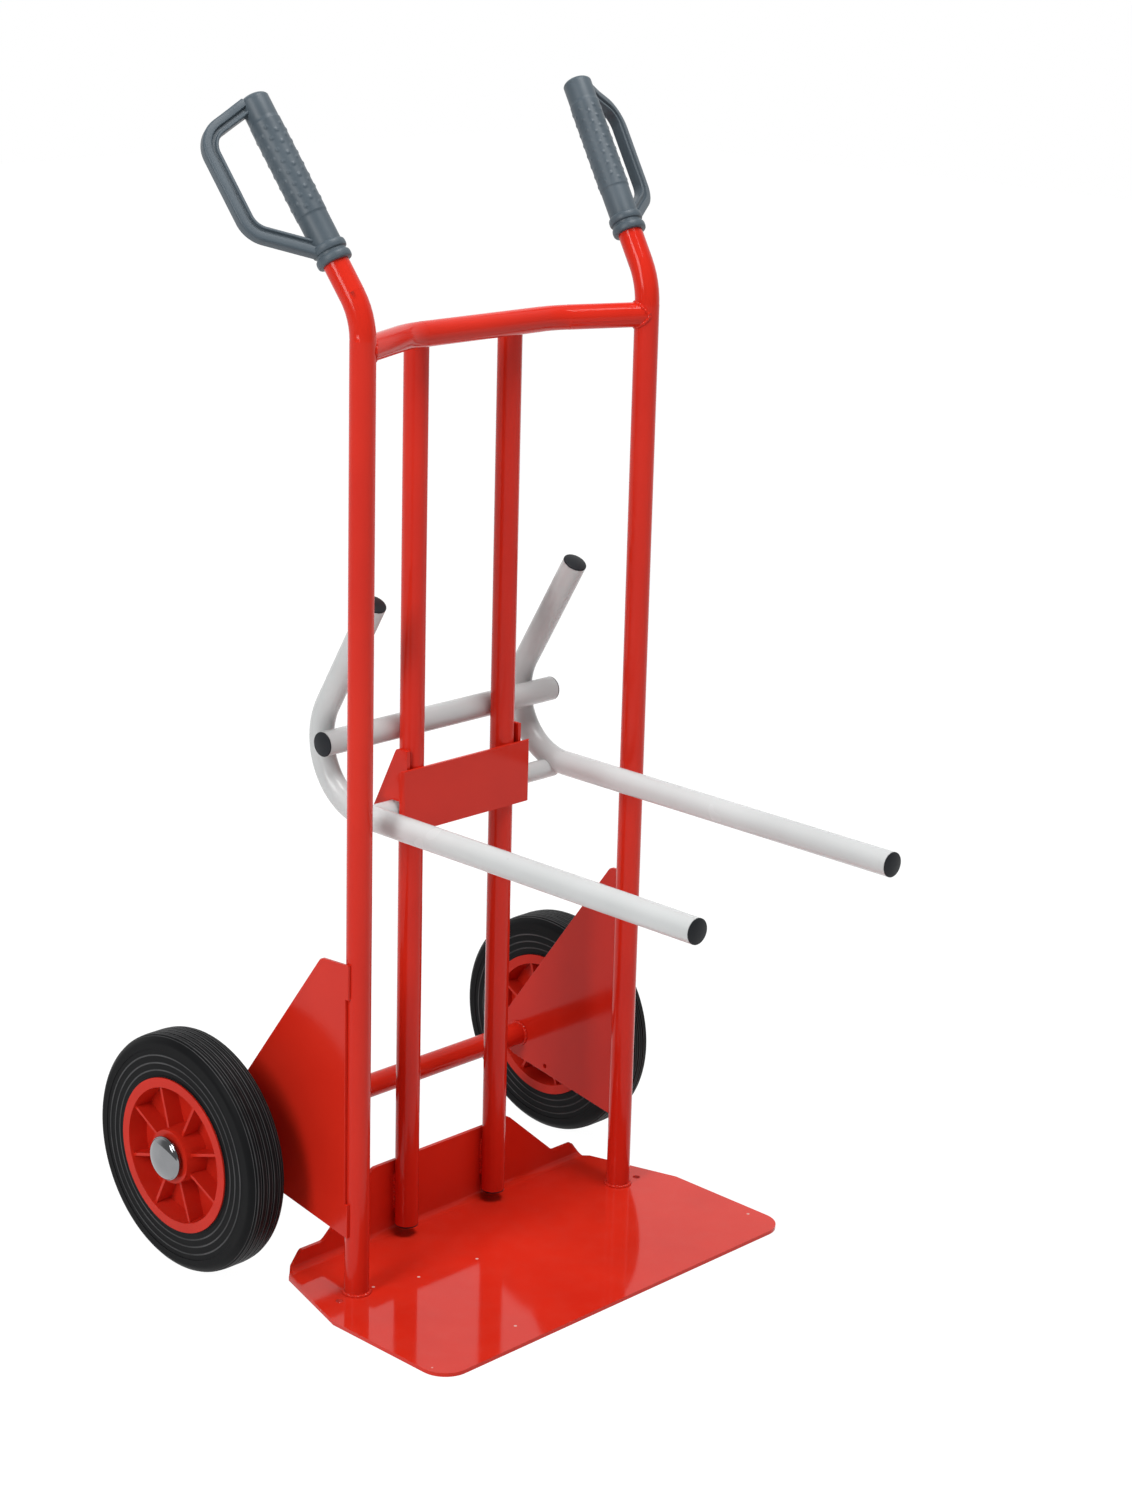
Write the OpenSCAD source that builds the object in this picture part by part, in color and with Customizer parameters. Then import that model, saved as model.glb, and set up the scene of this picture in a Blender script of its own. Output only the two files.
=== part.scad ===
// Two-wheeled sack truck with a toe plate, D-guard grips and a fold-up carrying fork.
// X runs across the truck, the front faces -Y, Z is up and Z = 0 is the ground.
// The origin lies midway between the uprights, on the toe plate's underside.

/* [Tubes] */
// Outside diameter of the frame and fork tubes
tube_d = 25; // [22:0.5:28]
// Wall thickness of the frame and fork tubes
tube_wall = 2; // [1.2:0.1:3]
// How much each face of a tube or bar draws in where it is bent
bend_thinning = 0.1; // [0.08:0.01:0.15]
// Thickness of an end plug's head at its rim
plug_rim = 1.5; // [1:0.1:3]
// Rise of an end plug's domed head
plug_dome = 1.5; // [1:0.1:3]
// Length of an end plug's stem inside its tube
plug_stem = 14; // [8:1:20]

/* [Frame] */
// Distance between the uprights, centre to centre
upright_span = 381; // [370:1:400]
// Distance between the inner posts, centre to centre
post_span = 126; // [116:1:136]
// How far the inner posts stand behind the uprights
post_setback = 65; // [60:1:75]
// Height of the inner posts' lower ends
post_foot_z = 16; // [14:1:20]
// Height of the inner posts' upper ends
post_top_z = 954; // [945:1:970]
// Height of the top crossbar's centre line
crossbar_z = 953; // [940:1:956]
// Half the distance between the top crossbar's two bends
crossbar_half = 97; // [85:1:110]
// Distance from the top crossbar's coped ends to the uprights' middle
crossbar_short = 4; // [2:0.5:8]
// Bend radius of the top crossbar
crossbar_r = 80; // [50:1:110]

/* [Handles] */
// Height at which the uprights bend back into the handles
handle_bend_z = 985; // [975:0.5:1000]
// Bend radius of the uprights
handle_bend_r = 70; // [60:1:110]
// Lean of the handles back from upright, in degrees
handle_lean = 35; // [25:0.1:40]
// Outward splay of the handles seen from above, in degrees
handle_splay = 9.9; // [0:0.1:20]
// Distance along the handle from its bend's corner to the grip
grip_start = 55; // [45:1:80]
// Length of the grip
grip_len = 177; // [165:1:200]
// Wall thickness of the grip's sleeve
grip_wall = 2.5; // [2:0.1:4]
// Rise of the grip's domed top
grip_dome = 8; // [5:0.5:12]
// Rubber left between the handle tube's end and the dome
grip_end = 4; // [2:0.5:8]
// How far the two collar rings stand out of the sleeve
collar_step = 2; // [1:0.1:3]
// Width of each collar ring
collar_w = 8; // [5:0.5:9]
// Gap between the two collar rings
collar_gap = 3; // [1:0.5:5]
// Distance from the grip's axis to the middle of the guard's outer bar
guard_reach = 63; // [57:1:75]
// In-plane width of the guard's bar
guard_w = 15; // [13:0.5:17]
// Thickness of the guard's bar
guard_t = 12; // [10:0.5:15]
// Width of the guard's full-thickness outer band
guard_band = 7.5; // [5:0.5:9]
// Width of the ridge along the guard's inner edge
guard_ridge = 3.5; // [2.5:0.5:5]
// Thickness of the web between the guard's outer band and inner ridge
guard_web = 7; // [5:0.5:9]
// Bend radius of the guard's middle line
guard_r = 25; // [20:1:28]
// Turn of the guard backwards from straight out, in degrees
guard_turn = 18; // [0:1:30]
// Slope of the guard's upper arm from square to the grip, in degrees
guard_top_slope = 17; // [5:0.5:25]
// Slope of the guard's lower arm from square to the grip, in degrees
guard_foot_slope = 35; // [20:0.5:40]
// Distance from the grip's top to the guard's upper arm
guard_top_gap = 7.5; // [3:0.5:12]
// Distance from the grip's foot to the guard's lower arm
guard_foot_gap = 9.5; // [2:0.5:14]

/* [Toe plate] */
// Width of the toe plate
plate_w = 500; // [470:1:530]
// Reach of the toe plate in front of the uprights
plate_reach = 191; // [150:1:240]
// Sheet thickness of the toe plate
plate_t = 4; // [3:0.5:6]
// Radius of the two front corners
plate_corner_r = 28; // [15:1:40]
// Where the tapered sides begin, in front of the uprights
taper_start = 32; // [20:1:60]
// Inward slope of the tapered sides, in degrees
taper_angle = 16.5; // [10:0.5:20]
// Inward slope of the fold's two ends, in degrees
fold_end_angle = 45; // [20:1:60]
// Inside radius of the fold between plate and flange
fold_r = 7; // [4:0.5:9]
// Height of the flange's flat middle
flange_h = 84.5; // [70:0.5:110]
// Width of the flange's flat middle
flange_top_w = 196; // [170:1:220]
// Height of the flange's low wings
wing_h = 24; // [20:0.5:30]
// Distance between the feet of the flange's two slopes
flange_foot_w = 334; // [320:1:360]
// Length of each low wing's flat top
wing_flat = 30; // [20:1:34]
// Radius of the corners at the flange's top
flange_corner_r = 8; // [4:0.5:12]
// Radius of the inner corners at the feet of the flange's slopes
flange_fillet_r = 10; // [4:0.5:14]
// Radius of the corners at the wings' ends
wing_corner_r = 6; // [2:0.5:8]
// Diameter of the two fixing holes
fixing_d = 8; // [6:0.5:10]
// Distance of the fixing holes from the toe plate's sides
fixing_edge = 33.5; // [25:0.5:40]
// Distance of the fixing holes in front of the uprights
fixing_y = 3.5; // [0:0.5:10]

/* [Wheel plates] */
// Sheet thickness of the wheel plates
side_t = 3.5; // [3:0.5:5]
// Height of the wheel plates' top edge
side_top_z = 357.5; // [330:0.5:380]
// Height of the wheel plates' lower front corner
side_foot_z = 68; // [50:1:75]
// Depth of the wheel plates' top edge behind the uprights' middle
side_top_y = 38; // [30:1:50]
// Fall of the wheel plates' top edge towards the rear
side_top_fall = 2.5; // [0:0.5:6]
// Radius of the top rear corner
side_corner_r = 8; // [4:1:14]
// Radius of the rounded end round the axle
side_end_r = 30; // [27:1:34]
// Offset of that rounded end in front of the axle
side_end_y = 3; // [0:0.5:6]
// Offset of that rounded end above the axle
side_end_z = 2; // [0:0.5:6]
// Height of the two tabs that lap the upright
side_tab_h = 36; // [25:1:60]
// How far the tabs lap past the upright's middle
side_lap = 2.5; // [1:0.5:5]
// Depth of the slot between the tabs
side_slot = 4; // [3:0.5:7]
// Diameter of the small hole in each wheel plate
side_hole_d = 5; // [4:0.5:8]
// Distance of that hole in front of the axle
side_hole_y = 42.5; // [35:0.5:60]
// Distance of that hole below the axle
side_hole_z = 27; // [20:0.5:27]

/* [Wheels] */
// Diameter of the wheels over their tread
wheel_d = 250; // [230:1:270]
// Distance from a wheel plate's outer face to the wheel's middle plane
wheel_out = 57; // [52:1:65]
// How far the axle lies behind the uprights
axle_setback = 170.5; // [165:0.5:180]
// Diameter of the axle rod
axle_d = 20; // [16:0.5:22]
// Wall thickness of the axle's cross tube
axle_tube_wall = 2.4; // [2:0.1:4]
// Wall thickness of the spacers on the axle
spacer_wall = 4; // [3:0.5:6]
// Width of the tyres
tyre_w = 45; // [40:1:47]
// Diameter of the rims under the tyres
rim_d = 162; // [150:1:176]
// Width of the rims over their side rings
rim_w = 48; // [47:0.5:52]
// Radial width of the rims' side rings
ring_w = 10; // [8:0.5:12]
// Thickness of the rims' middle web
web_t = 6; // [4:0.5:9]
// Length of the hubs
hub_len = 56; // [53:1:60]
// Diameter of the hubs at the web
hub_d = 60; // [54:1:66]
// Narrowing of hub and barrel towards their faces
mould_draft = 2; // [0.5:0.5:3]
// Ribs round each hub
rib_count = 8; // [6:1:10]
// Thickness of each rib
rib_t = 3; // [2:0.5:5]
// Setback of the ribs from the hub's face
rib_hub_drop = 6; // [1:0.5:10]
// Setback of the ribs from the side ring's face
rib_ring_drop = 3; // [2:0.5:10]
// Turn of the first rib from straight down towards the rear, in degrees
rib_turn = 27; // [0:1:45]
// Wall thickness of the hub bushes
bush_wall = 3; // [2:0.5:5]
// Length of each hub bush inside the hub
bush_len = 20; // [12:1:24]
// Thickness of the hub bushes' flanges
bush_flange_t = 1.5; // [1:0.5:3]
// How far the hub bushes' flanges stand out
bush_flange = 4; // [2:0.5:6]
// Thickness of the axle washers
washer_t = 2; // [1:0.5:3]
// Diameter of the axle washers
washer_d = 40; // [36:1:46]
// Diameter of the domed axle caps
cap_d = 46; // [40:1:52]
// Height of the axle caps' straight skirt
cap_skirt = 3; // [2:0.5:5]
// Rise of the axle caps' dome
cap_dome = 6.5; // [5:0.5:9]
// Depth to which the axle rod enters each cap
cap_seat = 5; // [3:0.5:6]

/* [Tyre tread] */
// Grooves round the tread
tread_count = 4; // [2:1:6]
// Spacing of the tread grooves
tread_pitch = 7; // [5:0.5:8]
// Width and depth of each tread groove
tread_cut = 1.6; // [1:0.1:2.4]
// Fine rings in each sidewall
wall_ring_count = 3; // [1:1:4]
// Spacing of the sidewall rings, outwards from the rim
wall_ring_pitch = 8; // [6:0.5:9]
// Width and depth of each sidewall ring
wall_ring_cut = 1; // [0.6:0.1:1.6]
// Radial height of the bevelled shoulders
shoulder_h = 6; // [3:0.5:8]
// Width of the bevelled shoulders
shoulder_w = 4.5; // [3:0.5:6]
// Fall of the crown from the tread's middle to the shoulders
crown_drop = 1.5; // [0.5:0.5:3]
// Half width of the crown's level middle
crown_half = 11; // [8:0.5:12]

/* [Fork] */
// Distance between the fork's two arms, centre to centre
fork_span = 276; // [260:1:290]
// Height of the fork's pivot
pivot_z = 475; // [450:1:500]
// Height of the arms' centre line above the pivot
arm_rise = 8; // [4:0.5:10]
// Reach of the arms in front of the uprights
arm_reach = 388; // [280:1:400]
// Bend radius of the loops behind the posts
loop_r = 68; // [60:1:75]
// Forward lean of the legs above the loops, in degrees
leg_lean = 30.3; // [15:0.1:35]
// Height of the legs' upper ends above the arms
leg_rise = 215; // [190:1:240]
// How far the fork's cross tube stands out past the arms' middle
cross_overhang = 20; // [15:0.5:24]
// Gap at which the cross tube stops against the inner posts
stop_gap = 0.3; // [0.2:0.1:1]

/* [Pivot bracket] */
// Diameter of the pivot bolts
pivot_d = 12; // [10:0.5:14]
// Wall thickness of the fork's pivot sleeves
sleeve_wall = 4; // [3:0.5:5]
// Distance from the bolt's tip to the middle of the arm
bolt_short = 18; // [16:0.5:24]
// Thickness of the bolt's head
bolt_head_t = 7; // [5:0.5:10]
// Width of the bolt's head across its corners
bolt_head_d = 22; // [18:0.5:26]
// Thickness of the pivot gussets on the posts
gusset_t = 4; // [3:0.5:6]
// Radius of the gussets' corners
gusset_corner_r = 5; // [2:0.5:5]
// Gap between the cross plate's back and the gussets' front edges
gusset_gap = 1.5; // [1:0.5:3]
// Depth of the gussets' lower edge behind the pivot
gusset_foot = 33; // [28:0.5:36]
// Depth of the gussets' rear corner behind the pivot
gusset_depth = 41.5; // [38:0.5:46]
// Height of that rear corner above the gussets' lower edge
gusset_heel = 10; // [8:0.5:14]
// Depth of the gussets' top edge behind the pivot
gusset_top = 5; // [2:0.5:12]
// Height of the gussets' top edge above the pivot
gusset_rise = 61; // [50:0.5:62]
// Sheet thickness of the folded cross plate
bracket_t = 3; // [2:0.5:4]
// Distance from a post's side to the outside of the cross plate's cheek
cheek_out = 14.5; // [13:0.5:18]
// Depth of the cheeks behind the cross plate's back
cheek_depth = 26; // [22:0.5:30]
// Outside radius of the cross plate's folds
bracket_fold_r = 5; // [4:0.5:8]
// Depth of the cross plate below the pivot
bracket_drop = 23; // [20:0.5:26]
// Height of the cross plate above the pivot
bracket_rise = 42.5; // [36:0.5:50]
// Room between the pivot sleeve and the cheek's cut-out
sleeve_room = 1.5; // [1:0.1:3]

/* [Clearances] */
// Radial running clearance on the axle and the pivots
run_gap = 0.05; // [0.02:0.01:0.1]
// Radial clearance of pieces that sit still on one another
seat_gap = 0.05; // [0.02:0.01:0.2]
// End play beside the wheels and the pivot sleeves
end_play = 0.3; // [0.2:0.1:1]

/* [Hidden] */
$fn = 64;
left = -1;
right = 1;
cut = 1;
bend_lap = 2;
blend = 0.2;
tip_flat = 0.05;

red = [0.84, 0.16, 0.11];
light_grey = [0.80, 0.81, 0.81];
slate = [0.30, 0.35, 0.39];
black = [0.10, 0.11, 0.12];
steel = [0.70, 0.71, 0.72];
chrome = [0.86, 0.87, 0.88];
nylon = [0.85, 0.84, 0.80];

tube_r = tube_d / 2;
bore_d = tube_d - 2 * tube_wall;
upright_x = upright_span / 2;
post_x = post_span / 2;
post_front = post_setback - tube_r;
post_rear = post_setback + tube_r;

handle_dir = [sin(handle_lean) * sin(handle_splay), sin(handle_lean) * cos(handle_splay),
    cos(handle_lean)];
handle_corner = [upright_x, 0, handle_bend_z];
grip_foot = handle_corner + grip_start * handle_dir;
tube_in_grip = grip_len - grip_dome - grip_end;
upright_path = [[upright_x, 0, plate_t], handle_corner, grip_foot + tube_in_grip * handle_dir];
grip_r = tube_r + seat_gap + grip_wall;
outward = unit([1, 0, 0] - handle_dir.x * handle_dir);
guard_dir = cos(guard_turn) * outward + sin(guard_turn) * cross(handle_dir, outward);

flange_front = post_rear;
flange_rear = flange_front + plate_t;
fold_y = flange_front - fold_r;
fold_z = plate_t + fold_r;
fold_half = plate_w / 2 - (fold_y + taper_start) * tan(taper_angle);
back_half = fold_half - (flange_rear - fold_y) * tan(fold_end_angle);
wing_half = flange_foot_w / 2 + wing_flat;

side_in = upright_x + tube_r;
side_out = side_in + side_t;
axle = [axle_setback, wheel_d / 2];
side_end = axle + [-side_end_y, side_end_z];

wheel_x = side_out + wheel_out;
wheel_r = wheel_d / 2;
rim_r = rim_d / 2;
well_r = rim_r - ring_w;
bush_d = axle_d + 2 * (run_gap + bush_wall);
hub_half = hub_len / 2 + bush_flange_t;
washer_x = wheel_x + hub_half + end_play;
cap_x = washer_x + washer_t;
seat_d = axle_d + 2 * seat_gap;

fork_x = fork_span / 2;
arm_z = pivot_z + arm_rise;
cross_y = post_rear + stop_gap + tube_r;
loop_y = cross_y + tube_d - loop_r;
loop_z = arm_z + loop_r;
leg_dir = [0, -sin(leg_lean), cos(leg_lean)];
loop_corner = [fork_x, loop_y + loop_r * tan((90 + leg_lean) / 2), arm_z];
leg_top = loop_corner + leg_rise / cos(leg_lean) * leg_dir;
arm_tip = [fork_x, -arm_reach, arm_z];
fork_path = [arm_tip, loop_corner, leg_top];
cross_half = fork_x + cross_overhang;

pivot = [post_setback, pivot_z];
sleeve_r = pivot_d / 2 + run_gap + sleeve_wall;
gusset_in = post_x + tube_r;
gusset_out = gusset_in + gusset_t;
bracket_half = gusset_in + cheek_out;
bolt_tip = fork_x - bolt_short;

function unit(v) = v / norm(v);

// Radius of the sphere whose cap has base radius a and rise h
function dome_radius(a, h) = (a * a + h * h) / (2 * h);

// Point where a line from p touches the circle at c, to one side of it
function touch(p, c, r, turn) =
    let (d = p - c, bearing = atan2(d.y, d.x) + turn * acos(r / norm(d)))
    c + r * [cos(bearing), sin(bearing)];

// Pieces drawn on the right-hand side, mirrored for the left
module on(side) {
    if (side < 0)
        mirror([1, 0, 0]) children();
    else
        children();
}

// Stands local X, Y and Z along three unit vectors at the point p
module stand(p, x, y, z) {
    multmatrix([[x.x, y.x, z.x, p.x], [x.y, y.y, z.y, p.y], [x.z, y.z, z.z, p.z], [0, 0, 0, 1]])
        children();
}

// Stands local Z along a direction that isn't the X axis
module point_along(p, dir) {
    side = unit(cross([1, 0, 0], dir));
    stand(p, cross(side, dir), side, dir) children();
}

// A sheet drawn in Y and Z, from x = start to start + thickness
module side_sheet(start, thickness) {
    translate([start, 0, 0]) rotate([90, 0, 90]) linear_extrude(thickness) children();
}

// A round bar or hole along X at a point in Y and Z
module bar_x(at, start, length, d) {
    translate([start, at.x, at.y]) rotate([0, 90, 0]) cylinder(d = d, h = length);
}

// Turns a piece drawn round Z onto the wheel axle, with local Z pointing out along X
module on_axle(x) {
    translate([x, axle.x, axle.y]) rotate([0, 90, 0]) children();
}

// Carries a section along a path whose corners all bend the same way, at radius r.
// The first child is the section of the straight runs, the second that of the bends,
// which is a little slimmer and laps into the runs.
module sweep(path, r) {
    last = len(path) - 1;
    dirs = [for (i = [0 : last - 1]) unit(path[i + 1] - path[i])];
    normal = unit(cross(dirs[0], dirs[1]));
    turns = [for (i = [1 : last - 1]) acos(dirs[i - 1] * dirs[i])];
    trims = [0, for (turn = turns) r * tan(turn / 2), 0];
    lap = bend_lap / r * 180 / PI;
    for (i = [0 : last - 1]) {
        length = norm(path[i + 1] - path[i]) - trims[i] - trims[i + 1];
        stand(path[i] + trims[i] * dirs[i], cross(dirs[i], normal), -normal, dirs[i])
            linear_extrude(length) children(0);
    }
    for (i = [1 : last - 1]) {
        out = cross(dirs[i - 1], normal);
        stand(path[i] - trims[i] * dirs[i - 1] - r * out, out, dirs[i - 1], normal)
            rotate([0, 0, -lap]) rotate_extrude(angle = turns[i - 1] + 2 * lap)
            translate([r, 0]) children(1);
    }
}

// Section of a tube, drawn in on both faces by thin
module tube_section(thin) {
    difference() {
        circle(d = tube_d - 2 * thin);
        circle(d = bore_d + 2 * thin);
    }
}

// A bent tube
module bent_tube(path, r) {
    sweep(path, r) {
        tube_section(0);
        tube_section(bend_thinning);
    }
}

// The same bent tube without its bore, for coping what meets it
module bent_bar(path, r) {
    sweep(path, r) {
        circle(d = tube_d);
        circle(d = tube_d - 2 * bend_thinning);
    }
}

// A straight tube along Z
module straight_tube(length, outer, inner) {
    difference() {
        cylinder(d = outer, h = length);
        translate([0, 0, -cut]) cylinder(d = inner, h = length + 2 * cut);
    }
}

// Outline with its corners [x, y, radius] rounded, listed anticlockwise: each round is a disc
// added to, or cut from, a chord that starts a little way before the disc
module rounded(corners) {
    n = len(corners);
    at = [for (c = corners) [c.x, c.y]];
    bends = [for (i = [0 : n - 1])
        let (
            back = unit(at[(i + n - 1) % n] - at[i]),
            ahead = unit(at[(i + 1) % n] - at[i]),
            half = acos(back * ahead) / 2,
            r = corners[i].z,
            trim = r > 0 ? r / tan(half) + blend : 0
        )
        [at[i] + trim * back, at[i] + trim * ahead,
            at[i] + r / sin(half) * unit(back + ahead), r, cross(ahead, back) > 0]];
    difference() {
        union() {
            polygon([for (b = bends) each (b[3] > 0 ? [b[0], b[1]] : [b[0]])]);
            for (b = bends)
                if (b[3] > 0 && b[4])
                    translate(b[2]) circle(r = b[3]);
        }
        for (b = bends)
            if (b[3] > 0 && !b[4])
                translate(b[2]) circle(r = b[3]);
    }
}

// Half section of a domed cylinder with a small flat at its tip, to be turned round Z
module dome_section(r, straight, rise) {
    ball = dome_radius(r, rise);
    lap = min(straight, rise) / 2;
    square([r, straight - lap / 2]);
    intersection() {
        translate([0, straight + rise - ball]) circle(r = ball);
        translate([0, straight - lap]) square([r, rise + lap - tip_flat]);
    }
}

// End plug for a tube: a domed head over a stem, seated at local Z = 0
module plug() {
    rotate_extrude() dome_section(tube_r, plug_rim, plug_dome);
    translate([0, 0, -plug_stem]) cylinder(d = bore_d - 2 * seat_gap, h = plug_stem);
}

module toe_plate() {
    half = plate_w / 2;
    long = plate_w + 2 * cut;
    color(red)
    difference() {
        intersection() {
            side_sheet(-long / 2, long) {
                translate([-plate_reach, 0]) square([plate_reach + fold_y, plate_t]);
                translate([flange_front, fold_z]) square([plate_t, flange_h - fold_z]);
                intersection() {
                    translate([fold_y, fold_z])
                    difference() {
                        circle(r = fold_r + plate_t);
                        circle(r = fold_r);
                    }
                    translate([fold_y, 0]) square([plate_t + fold_r, fold_z]);
                }
            }
            translate([0, 0, -cut]) linear_extrude(flange_h + 2 * cut)
                rounded([[-half, -plate_reach, plate_corner_r], [half, -plate_reach, plate_corner_r],
                    [half, -taper_start, 0], [fold_half, fold_y, 0], [back_half, flange_rear, 0],
                    [-back_half, flange_rear, 0], [-fold_half, fold_y, 0], [-half, -taper_start, 0]]);
            translate([0, flange_rear + cut, 0]) rotate([90, 0, 0])
                linear_extrude(flange_rear + plate_reach + 2 * cut)
                rounded([[-half, 0, 0], [half, 0, 0], [half, plate_t, 0], [back_half + plate_t, plate_t, 0],
                    [wing_half, wing_h, wing_corner_r],
                    [flange_foot_w / 2, wing_h, flange_fillet_r],
                    [flange_top_w / 2, flange_h, flange_corner_r],
                    [-flange_top_w / 2, flange_h, flange_corner_r],
                    [-flange_foot_w / 2, wing_h, flange_fillet_r],
                    [-wing_half, wing_h, wing_corner_r],
                    [-back_half - plate_t, plate_t, 0], [-half, plate_t, 0]]);
        }
        for (side = [left, right])
            translate([side * (half - fixing_edge), -fixing_y, -cut])
                cylinder(d = fixing_d, h = plate_t + 2 * cut);
    }
}

module upright(side) {
    color(red) on(side) bent_tube(upright_path, handle_bend_r);
}

module inner_post(side) {
    color(red) on(side)
    difference() {
        translate([post_x, post_setback, post_foot_z])
            straight_tube(post_top_z - post_foot_z, tube_d, bore_d);
        bar_x(pivot, post_x - tube_d, 2 * tube_d, pivot_d + 2 * seat_gap);
    }
}

module post_plugs() {
    color(black)
    for (side = [left, right]) {
        translate([side * post_x, post_setback, post_top_z]) plug();
        translate([side * post_x, post_setback, post_foot_z]) mirror([0, 0, 1]) plug();
    }
}

module top_crossbar() {
    bend = [crossbar_half, post_front - tube_r, crossbar_z];
    end = [upright_x, 0, crossbar_z];
    tip = end + crossbar_short * unit(bend - end);
    path = [[-tip.x, tip.y, tip.z], [-bend.x, bend.y, bend.z], bend, tip];
    color(red)
    difference() {
        bent_tube(path, crossbar_r);
        for (side = [left, right])
            on(side) bent_bar(upright_path, handle_bend_r);
    }
}

// Grooved section of the guard's bar, drawn in by thin: outer band, thinner web and inner ridge
module guard_section(thin) {
    square([guard_w - 2 * thin, guard_web - 2 * thin], center = true);
    translate([(guard_w - guard_band) / 2, 0])
        square([guard_band - 2 * thin, guard_t - 2 * thin], center = true);
    translate([(guard_ridge - guard_w) / 2, 0])
        square([guard_ridge - 2 * thin, guard_t - 2 * thin], center = true);
}

module grip(side) {
    ring_r = grip_r + collar_step;
    shaft = grip_len - grip_dome;
    top = grip_len - guard_top_gap;
    foot = guard_foot_gap;
    guard_path = [[0, 0, top], [guard_reach, 0, top - guard_reach * tan(guard_top_slope)],
        [guard_reach, 0, foot + guard_reach * tan(guard_foot_slope)], [0, 0, foot]];
    color(slate) on(side)
    stand(grip_foot, guard_dir, cross(handle_dir, guard_dir), handle_dir)
    difference() {
        union() {
            rotate_extrude() {
                dome_section(grip_r, shaft, grip_dome);
                square([ring_r, collar_w]);
                translate([0, collar_w + collar_gap]) square([ring_r, collar_w]);
            }
            intersection() {
                sweep(guard_path, guard_r) {
                    guard_section(0);
                    guard_section(bend_thinning);
                }
                translate([0, -guard_t, 0]) cube([guard_reach + guard_w, 2 * guard_t, grip_len]);
            }
        }
        translate([0, 0, -cut]) cylinder(d = tube_d + 2 * seat_gap, h = tube_in_grip + cut);
    }
}

module wheel_plate(side) {
    top_rear = [side_top_y, side_top_z - side_top_fall];
    foot = [-side_lap, side_foot_z];
    rear_touch = touch(top_rear, side_end, side_end_r - blend / 4, -1);
    foot_touch = touch(foot, side_end, side_end_r - blend / 4, 1);
    slot_y = side_slot - side_lap;
    hole = axle - [side_hole_y, side_hole_z];
    color(red) on(side)
    difference() {
        side_sheet(side_in, side_t) {
            rounded([[foot.x, foot.y, 0], [foot_touch.x, foot_touch.y, 0],
                [rear_touch.x, rear_touch.y, 0], [top_rear.x, top_rear.y, side_corner_r],
                [-side_lap, side_top_z, 0], [-side_lap, side_top_z - side_tab_h, 0],
                [slot_y, side_top_z - side_tab_h, 0], [slot_y, side_foot_z + side_tab_h, 0],
                [-side_lap, side_foot_z + side_tab_h, 0]]);
            translate(side_end) circle(r = side_end_r);
        }
        bar_x(axle, side_in - cut, side_t + 2 * cut, seat_d);
        bar_x(hole, side_in - cut, side_t + 2 * cut, side_hole_d);
    }
}

module axle_tube() {
    color(red) on_axle(-side_in)
        straight_tube(2 * side_in, seat_d + 2 * axle_tube_wall, seat_d);
}

module axle_rod() {
    reach = cap_x + cap_seat;
    color(steel) bar_x(axle, -reach, 2 * reach, axle_d);
}

module axle_spacer(side) {
    color(steel) on(side) on_axle(side_out)
        straight_tube(wheel_x - hub_half - end_play - side_out, seat_d + 2 * spacer_wall, seat_d);
}

module axle_washer(side) {
    color(steel) on(side) on_axle(washer_x) straight_tube(washer_t, washer_d, seat_d);
}

module axle_cap(side) {
    color(chrome) on(side) on_axle(cap_x)
    difference() {
        rotate_extrude() dome_section(cap_d / 2, cap_skirt, cap_dome);
        translate([0, 0, -cut]) cylinder(d = seat_d, h = cut + cap_seat + seat_gap);
    }
}

module tyre(side) {
    half = tyre_w / 2;
    tread_r = wheel_r - crown_drop;
    color(black) on(side) on_axle(wheel_x)
    rotate_extrude()
    difference() {
        polygon([[rim_r, -half], [tread_r - shoulder_h, -half], [tread_r, shoulder_w - half],
            [wheel_r, -crown_half], [wheel_r, crown_half], [tread_r, half - shoulder_w],
            [tread_r - shoulder_h, half], [rim_r, half]]);
        for (i = [0 : tread_count - 1])
            translate([wheel_r - crown_drop / 2, (i - (tread_count - 1) / 2) * tread_pitch])
                square([2 * tread_cut, tread_cut], center = true);
        for (i = [1 : wall_ring_count], face = [-1, 1])
            translate([rim_r + i * wall_ring_pitch, face * half])
                square([wall_ring_cut, 2 * wall_ring_cut], center = true);
    }
}

module rim(side) {
    hub_r = hub_d / 2;
    hub_face = hub_len / 2;
    ring_face = rim_w / 2;
    web = web_t / 2;
    rib_root = hub_r - 2 * mould_draft;
    color(red) on(side) on_axle(wheel_x) {
        rotate_extrude()
            polygon([[bush_d / 2, -hub_face], [hub_r - mould_draft, -hub_face], [hub_r, -web],
                [well_r - mould_draft, -web], [well_r, -ring_face], [rim_r, -ring_face],
                [rim_r, ring_face], [well_r, ring_face], [well_r - mould_draft, web],
                [hub_r, web], [hub_r - mould_draft, hub_face], [bush_d / 2, hub_face]]);
        for (i = [0 : rib_count - 1])
            rotate([90, 0, rib_turn + i * 360 / rib_count])
            linear_extrude(rib_t, center = true)
                polygon([[rib_root, rib_hub_drop - hub_face], [well_r + cut, rib_ring_drop - ring_face],
                    [well_r + cut, ring_face - rib_ring_drop], [rib_root, hub_face - rib_hub_drop]]);
    }
}

module hub_bushes(side) {
    bore = axle_d + 2 * run_gap;
    color(nylon) on(side) on_axle(wheel_x)
    for (face = [0, 1])
        mirror([0, 0, face])
        translate([0, 0, hub_len / 2 - bush_len])
        difference() {
            union() {
                cylinder(d = bush_d, h = bush_len);
                translate([0, 0, bush_len]) cylinder(d = bush_d + 2 * bush_flange, h = bush_flange_t);
            }
            translate([0, 0, -cut]) cylinder(d = bore, h = bush_len + bush_flange_t + 2 * cut);
        }
}

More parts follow.
